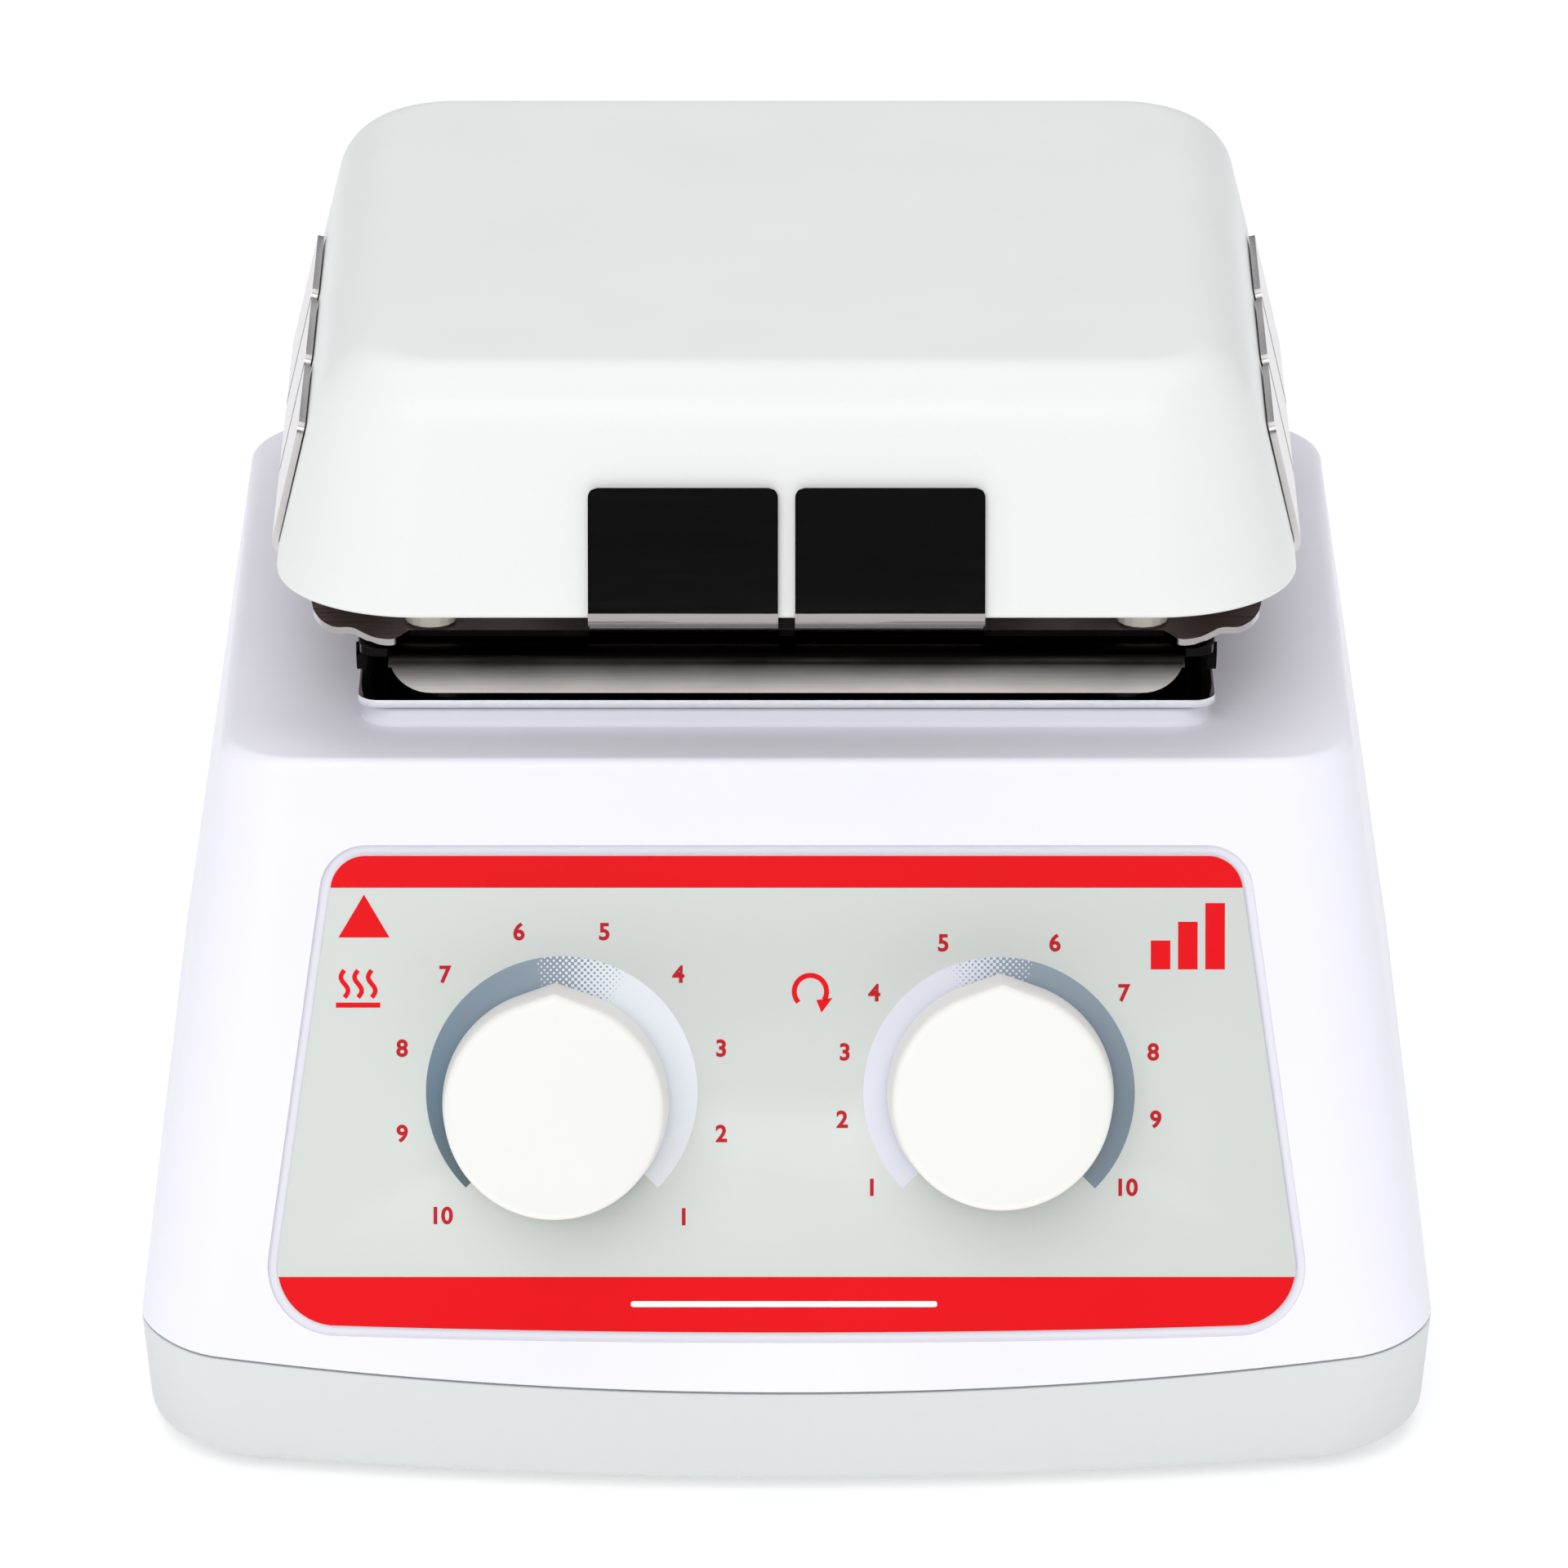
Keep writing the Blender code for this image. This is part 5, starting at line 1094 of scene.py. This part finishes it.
def board_finish():
    """Green solder mask with lighter copper tracks below it."""
    made = Shader("circuit_board", (0.02, 0.16, 0.07), 0.35)
    brick = made.node("ShaderNodeTexBrick", {
        "Vector": made.place, "Color1": (0.02, 0.16, 0.07, 1), "Color2": (0.03, 0.20, 0.09, 1),
        "Mortar": (0.06, 0.30, 0.14, 1), "Scale": 90.0, "Mortar Size": 0.03})
    made.feed(brick.outputs["Color"])
    made.gloss(80.0, 0.28, 0.45)
    made.bump(brick.outputs["Fac"], 0.2, 0.00005)
    return made.material


def winding_finish():
    """Rows of enamelled copper wire."""
    made = Shader("copper_winding", (0.45, 0.20, 0.09), 0.35, 0.8)
    wave = made.node("ShaderNodeTexWave", {"Vector": made.place, "Scale": 420.0, "Distortion": 0.4},
                     bands_direction="X")
    made.feed(made.blend(wave.outputs["Fac"], made.tint(0.6), made.tint(1.2)))
    made.bump(wave.outputs["Fac"], 0.6, 0.0002)
    made.gloss(300.0, 0.28, 0.45)
    return made.material


def glass_finish():
    made = Shader("fuse_glass", (0.85, 0.88, 0.88), 0.08, 0.0, Transmission_Weight=0.75)
    made.gloss(120.0, 0.05, 0.16)
    made.grain(200.0, 0.05, 0.0001)
    return made.material


BY_SLOT = {
    "zinc_steel": STEEL, "aluminium": ALUMINIUM, "brass": BRASS, "steatite": STEATITE, "ceramic_fibre": FIBRE,
    "mica_heater": MICA, "ferrite": FERRITE, "lead_sleeve": SLEEVE, "black_plastic": DARK,
    "black_rubber": RUBBER, "board_green": board_finish(), "transformer_copper": winding_finish(),
    "fuse_glass": glass_finish(), "stainless_steel": SHADED_STAINLESS, "housing_white": HOUSING, "base_grey": BASE,
    "knob_white": KNOB, "glazed_ceramic": CERAMIC, "overlay_grey": FILM,
}


def dress_nodes():
    """Every CAD node that stays takes the procedural finish of its slot."""
    for entry in frame["record"]["subparts"]:
        node = frame["nodes"][entry["node"]]
        finish = BY_SLOT[entry["material_slot"]]
        if node.material_slots:
            for holder in node.material_slots:
                holder.material = finish
        else:
            node.data.materials.append(finish)


# ---- stage


# Name, place, height of the point it faces on the Z axis, width, height and power.
LIGHTS = (
    ("front_softbox", (-0.26, -1.45, 1.22), 0.05, 1.7, 1.1, 13.8),
    ("left_strip", (-0.55, -1.75, 0.65), 0.09, 0.14, 0.7, 1.8),
    ("overhead_softbox", (0.0, 0.3, 1.5), 0.1, 1.8, 1.8, 11.4),
    ("left_softbox", (-1.4, -0.2, 0.6), 0.07, 0.9, 0.9, 0.9),
    ("right_softbox", (1.4, -0.2, 0.6), 0.07, 0.9, 0.9, 1.7),
)


def area_light(name, place, aim, width, height, power):
    light = bpy.data.lights.new(name, "AREA")
    light.shape = "RECTANGLE"
    light.size = width
    light.size_y = height
    light.energy = power
    obj = bpy.data.objects.new(name, light)
    bpy.context.scene.collection.objects.link(obj)
    obj.location = place
    obj.rotation_euler = (Vector((0, 0, aim)) - Vector(place)).to_track_quat("-Z", "Y").to_euler()


def sheet(name, half, material, turn=None):
    shape = bmesh.new()
    bmesh.ops.create_grid(shape, x_segments=1, y_segments=1, size=half)
    return finish_mesh(shape, name, material, turn)


def stage():
    """Camera, backdrop, floor, dark card and lights."""
    scene = bpy.context.scene
    camera = bpy.data.objects.new("camera", bpy.data.cameras.new("camera"))
    scene.collection.objects.link(camera)
    camera.data.sensor_width = 36.0
    camera.data.lens = 300.1
    camera.data.clip_end = 20.0
    camera.location = (-0.0003, FRONT_Y - 1.4075, 0.6341)
    camera.rotation_euler = (radians(90 - 21.118), 0, 0)
    scene.camera = camera

    world = bpy.data.worlds.new("studio")
    world.use_nodes = True
    nodes, links = world.node_tree.nodes, world.node_tree.links
    pale, white = nodes["Background"], nodes.new("ShaderNodeBackground")
    pale.inputs["Color"].default_value = (0.93, 0.93, 1.0, 1)
    pale.inputs["Strength"].default_value = 0.42
    white.inputs["Color"].default_value = (1, 1, 1, 1)
    # The camera sees the white backdrop, and the object is lit by the pale one.
    path = nodes.new("ShaderNodeLightPath")
    choose = nodes.new("ShaderNodeMixShader")
    links.new(path.outputs["Is Camera Ray"], choose.inputs[0])
    links.new(pale.outputs[0], choose.inputs[1])
    links.new(white.outputs[0], choose.inputs[2])
    links.new(choose.outputs[0], nodes["World Output"].inputs[0])
    scene.world = world
    scene.view_settings.view_transform = "Standard"

    floor_look = Shader("pale_floor", (0.9, 0.9, 0.9), 0.9)
    floor_look.mottle(3.0, 0.004)
    floor_look.bsdf.inputs["Emission Color"].default_value = (1, 1, 1, 1)
    floor_look.bsdf.inputs["Emission Strength"].default_value = 0.3
    sheet("floor", 4.0, floor_look.material)

    # The card is what the front tabs reflect, and nothing else sees it.
    card = sheet("dark_card", 0.5, Shader("dark_card", (0.004, 0.004, 0.005), 0.9).material,
                 Matrix.Translation((0, -2.6, 0.56)) @ Matrix.Diagonal((3.2, 1, 1.1, 1))
                 @ Matrix.Rotation(pi / 2, 4, "X"))
    card.visible_camera = card.visible_diffuse = card.visible_shadow = False

    for light in LIGHTS:
        area_light(*light)


# ---- the whole object

SLATE_LOW = (0.102, 0.141, 0.150)
SLATE = (0.117, 0.188, 0.254)
SLATE_SOFT = (0.262, 0.328, 0.392)
STEEL_BLUE = (0.205, 0.265, 0.315)
PALE = (0.80, 0.84, 0.88)
PALE_MAUVE = (0.72, 0.74, 0.82)
HEAT_STOPS = [(0.413, PALE), (0.43, SLATE_SOFT), (0.53, SLATE_SOFT), (0.75, SLATE), (0.875, SLATE_LOW)]
STIR_STOPS = [(0.125, STEEL_BLUE), (0.25, STEEL_BLUE), (0.46, SLATE_SOFT), (0.55, SLATE_SOFT),
              (0.567, PALE_MAUVE)]

dress_nodes()
base_shell()
housing_shell()
control_panel()
dial_ring("heat_dial_print", HEAT_RING, dial_ink("heat_dial_ink", HEAT_RING, HEAT_STOPS, 0.53, 0.41))
dial_ring("stir_dial_print", STIR_RING, dial_ink("stir_dial_ink", STIR_RING, STIR_STOPS, 0.46, 0.57))
knob("heat_dial_knob", "heat_dial", HEAT_KNOB, "heat_knob")
knob("stir_dial_knob", "stir_dial", STIR_KNOB, "stir_knob")
reflector()
shield_pan()
clip_tray()
ceramic_top()
feet()
stage()
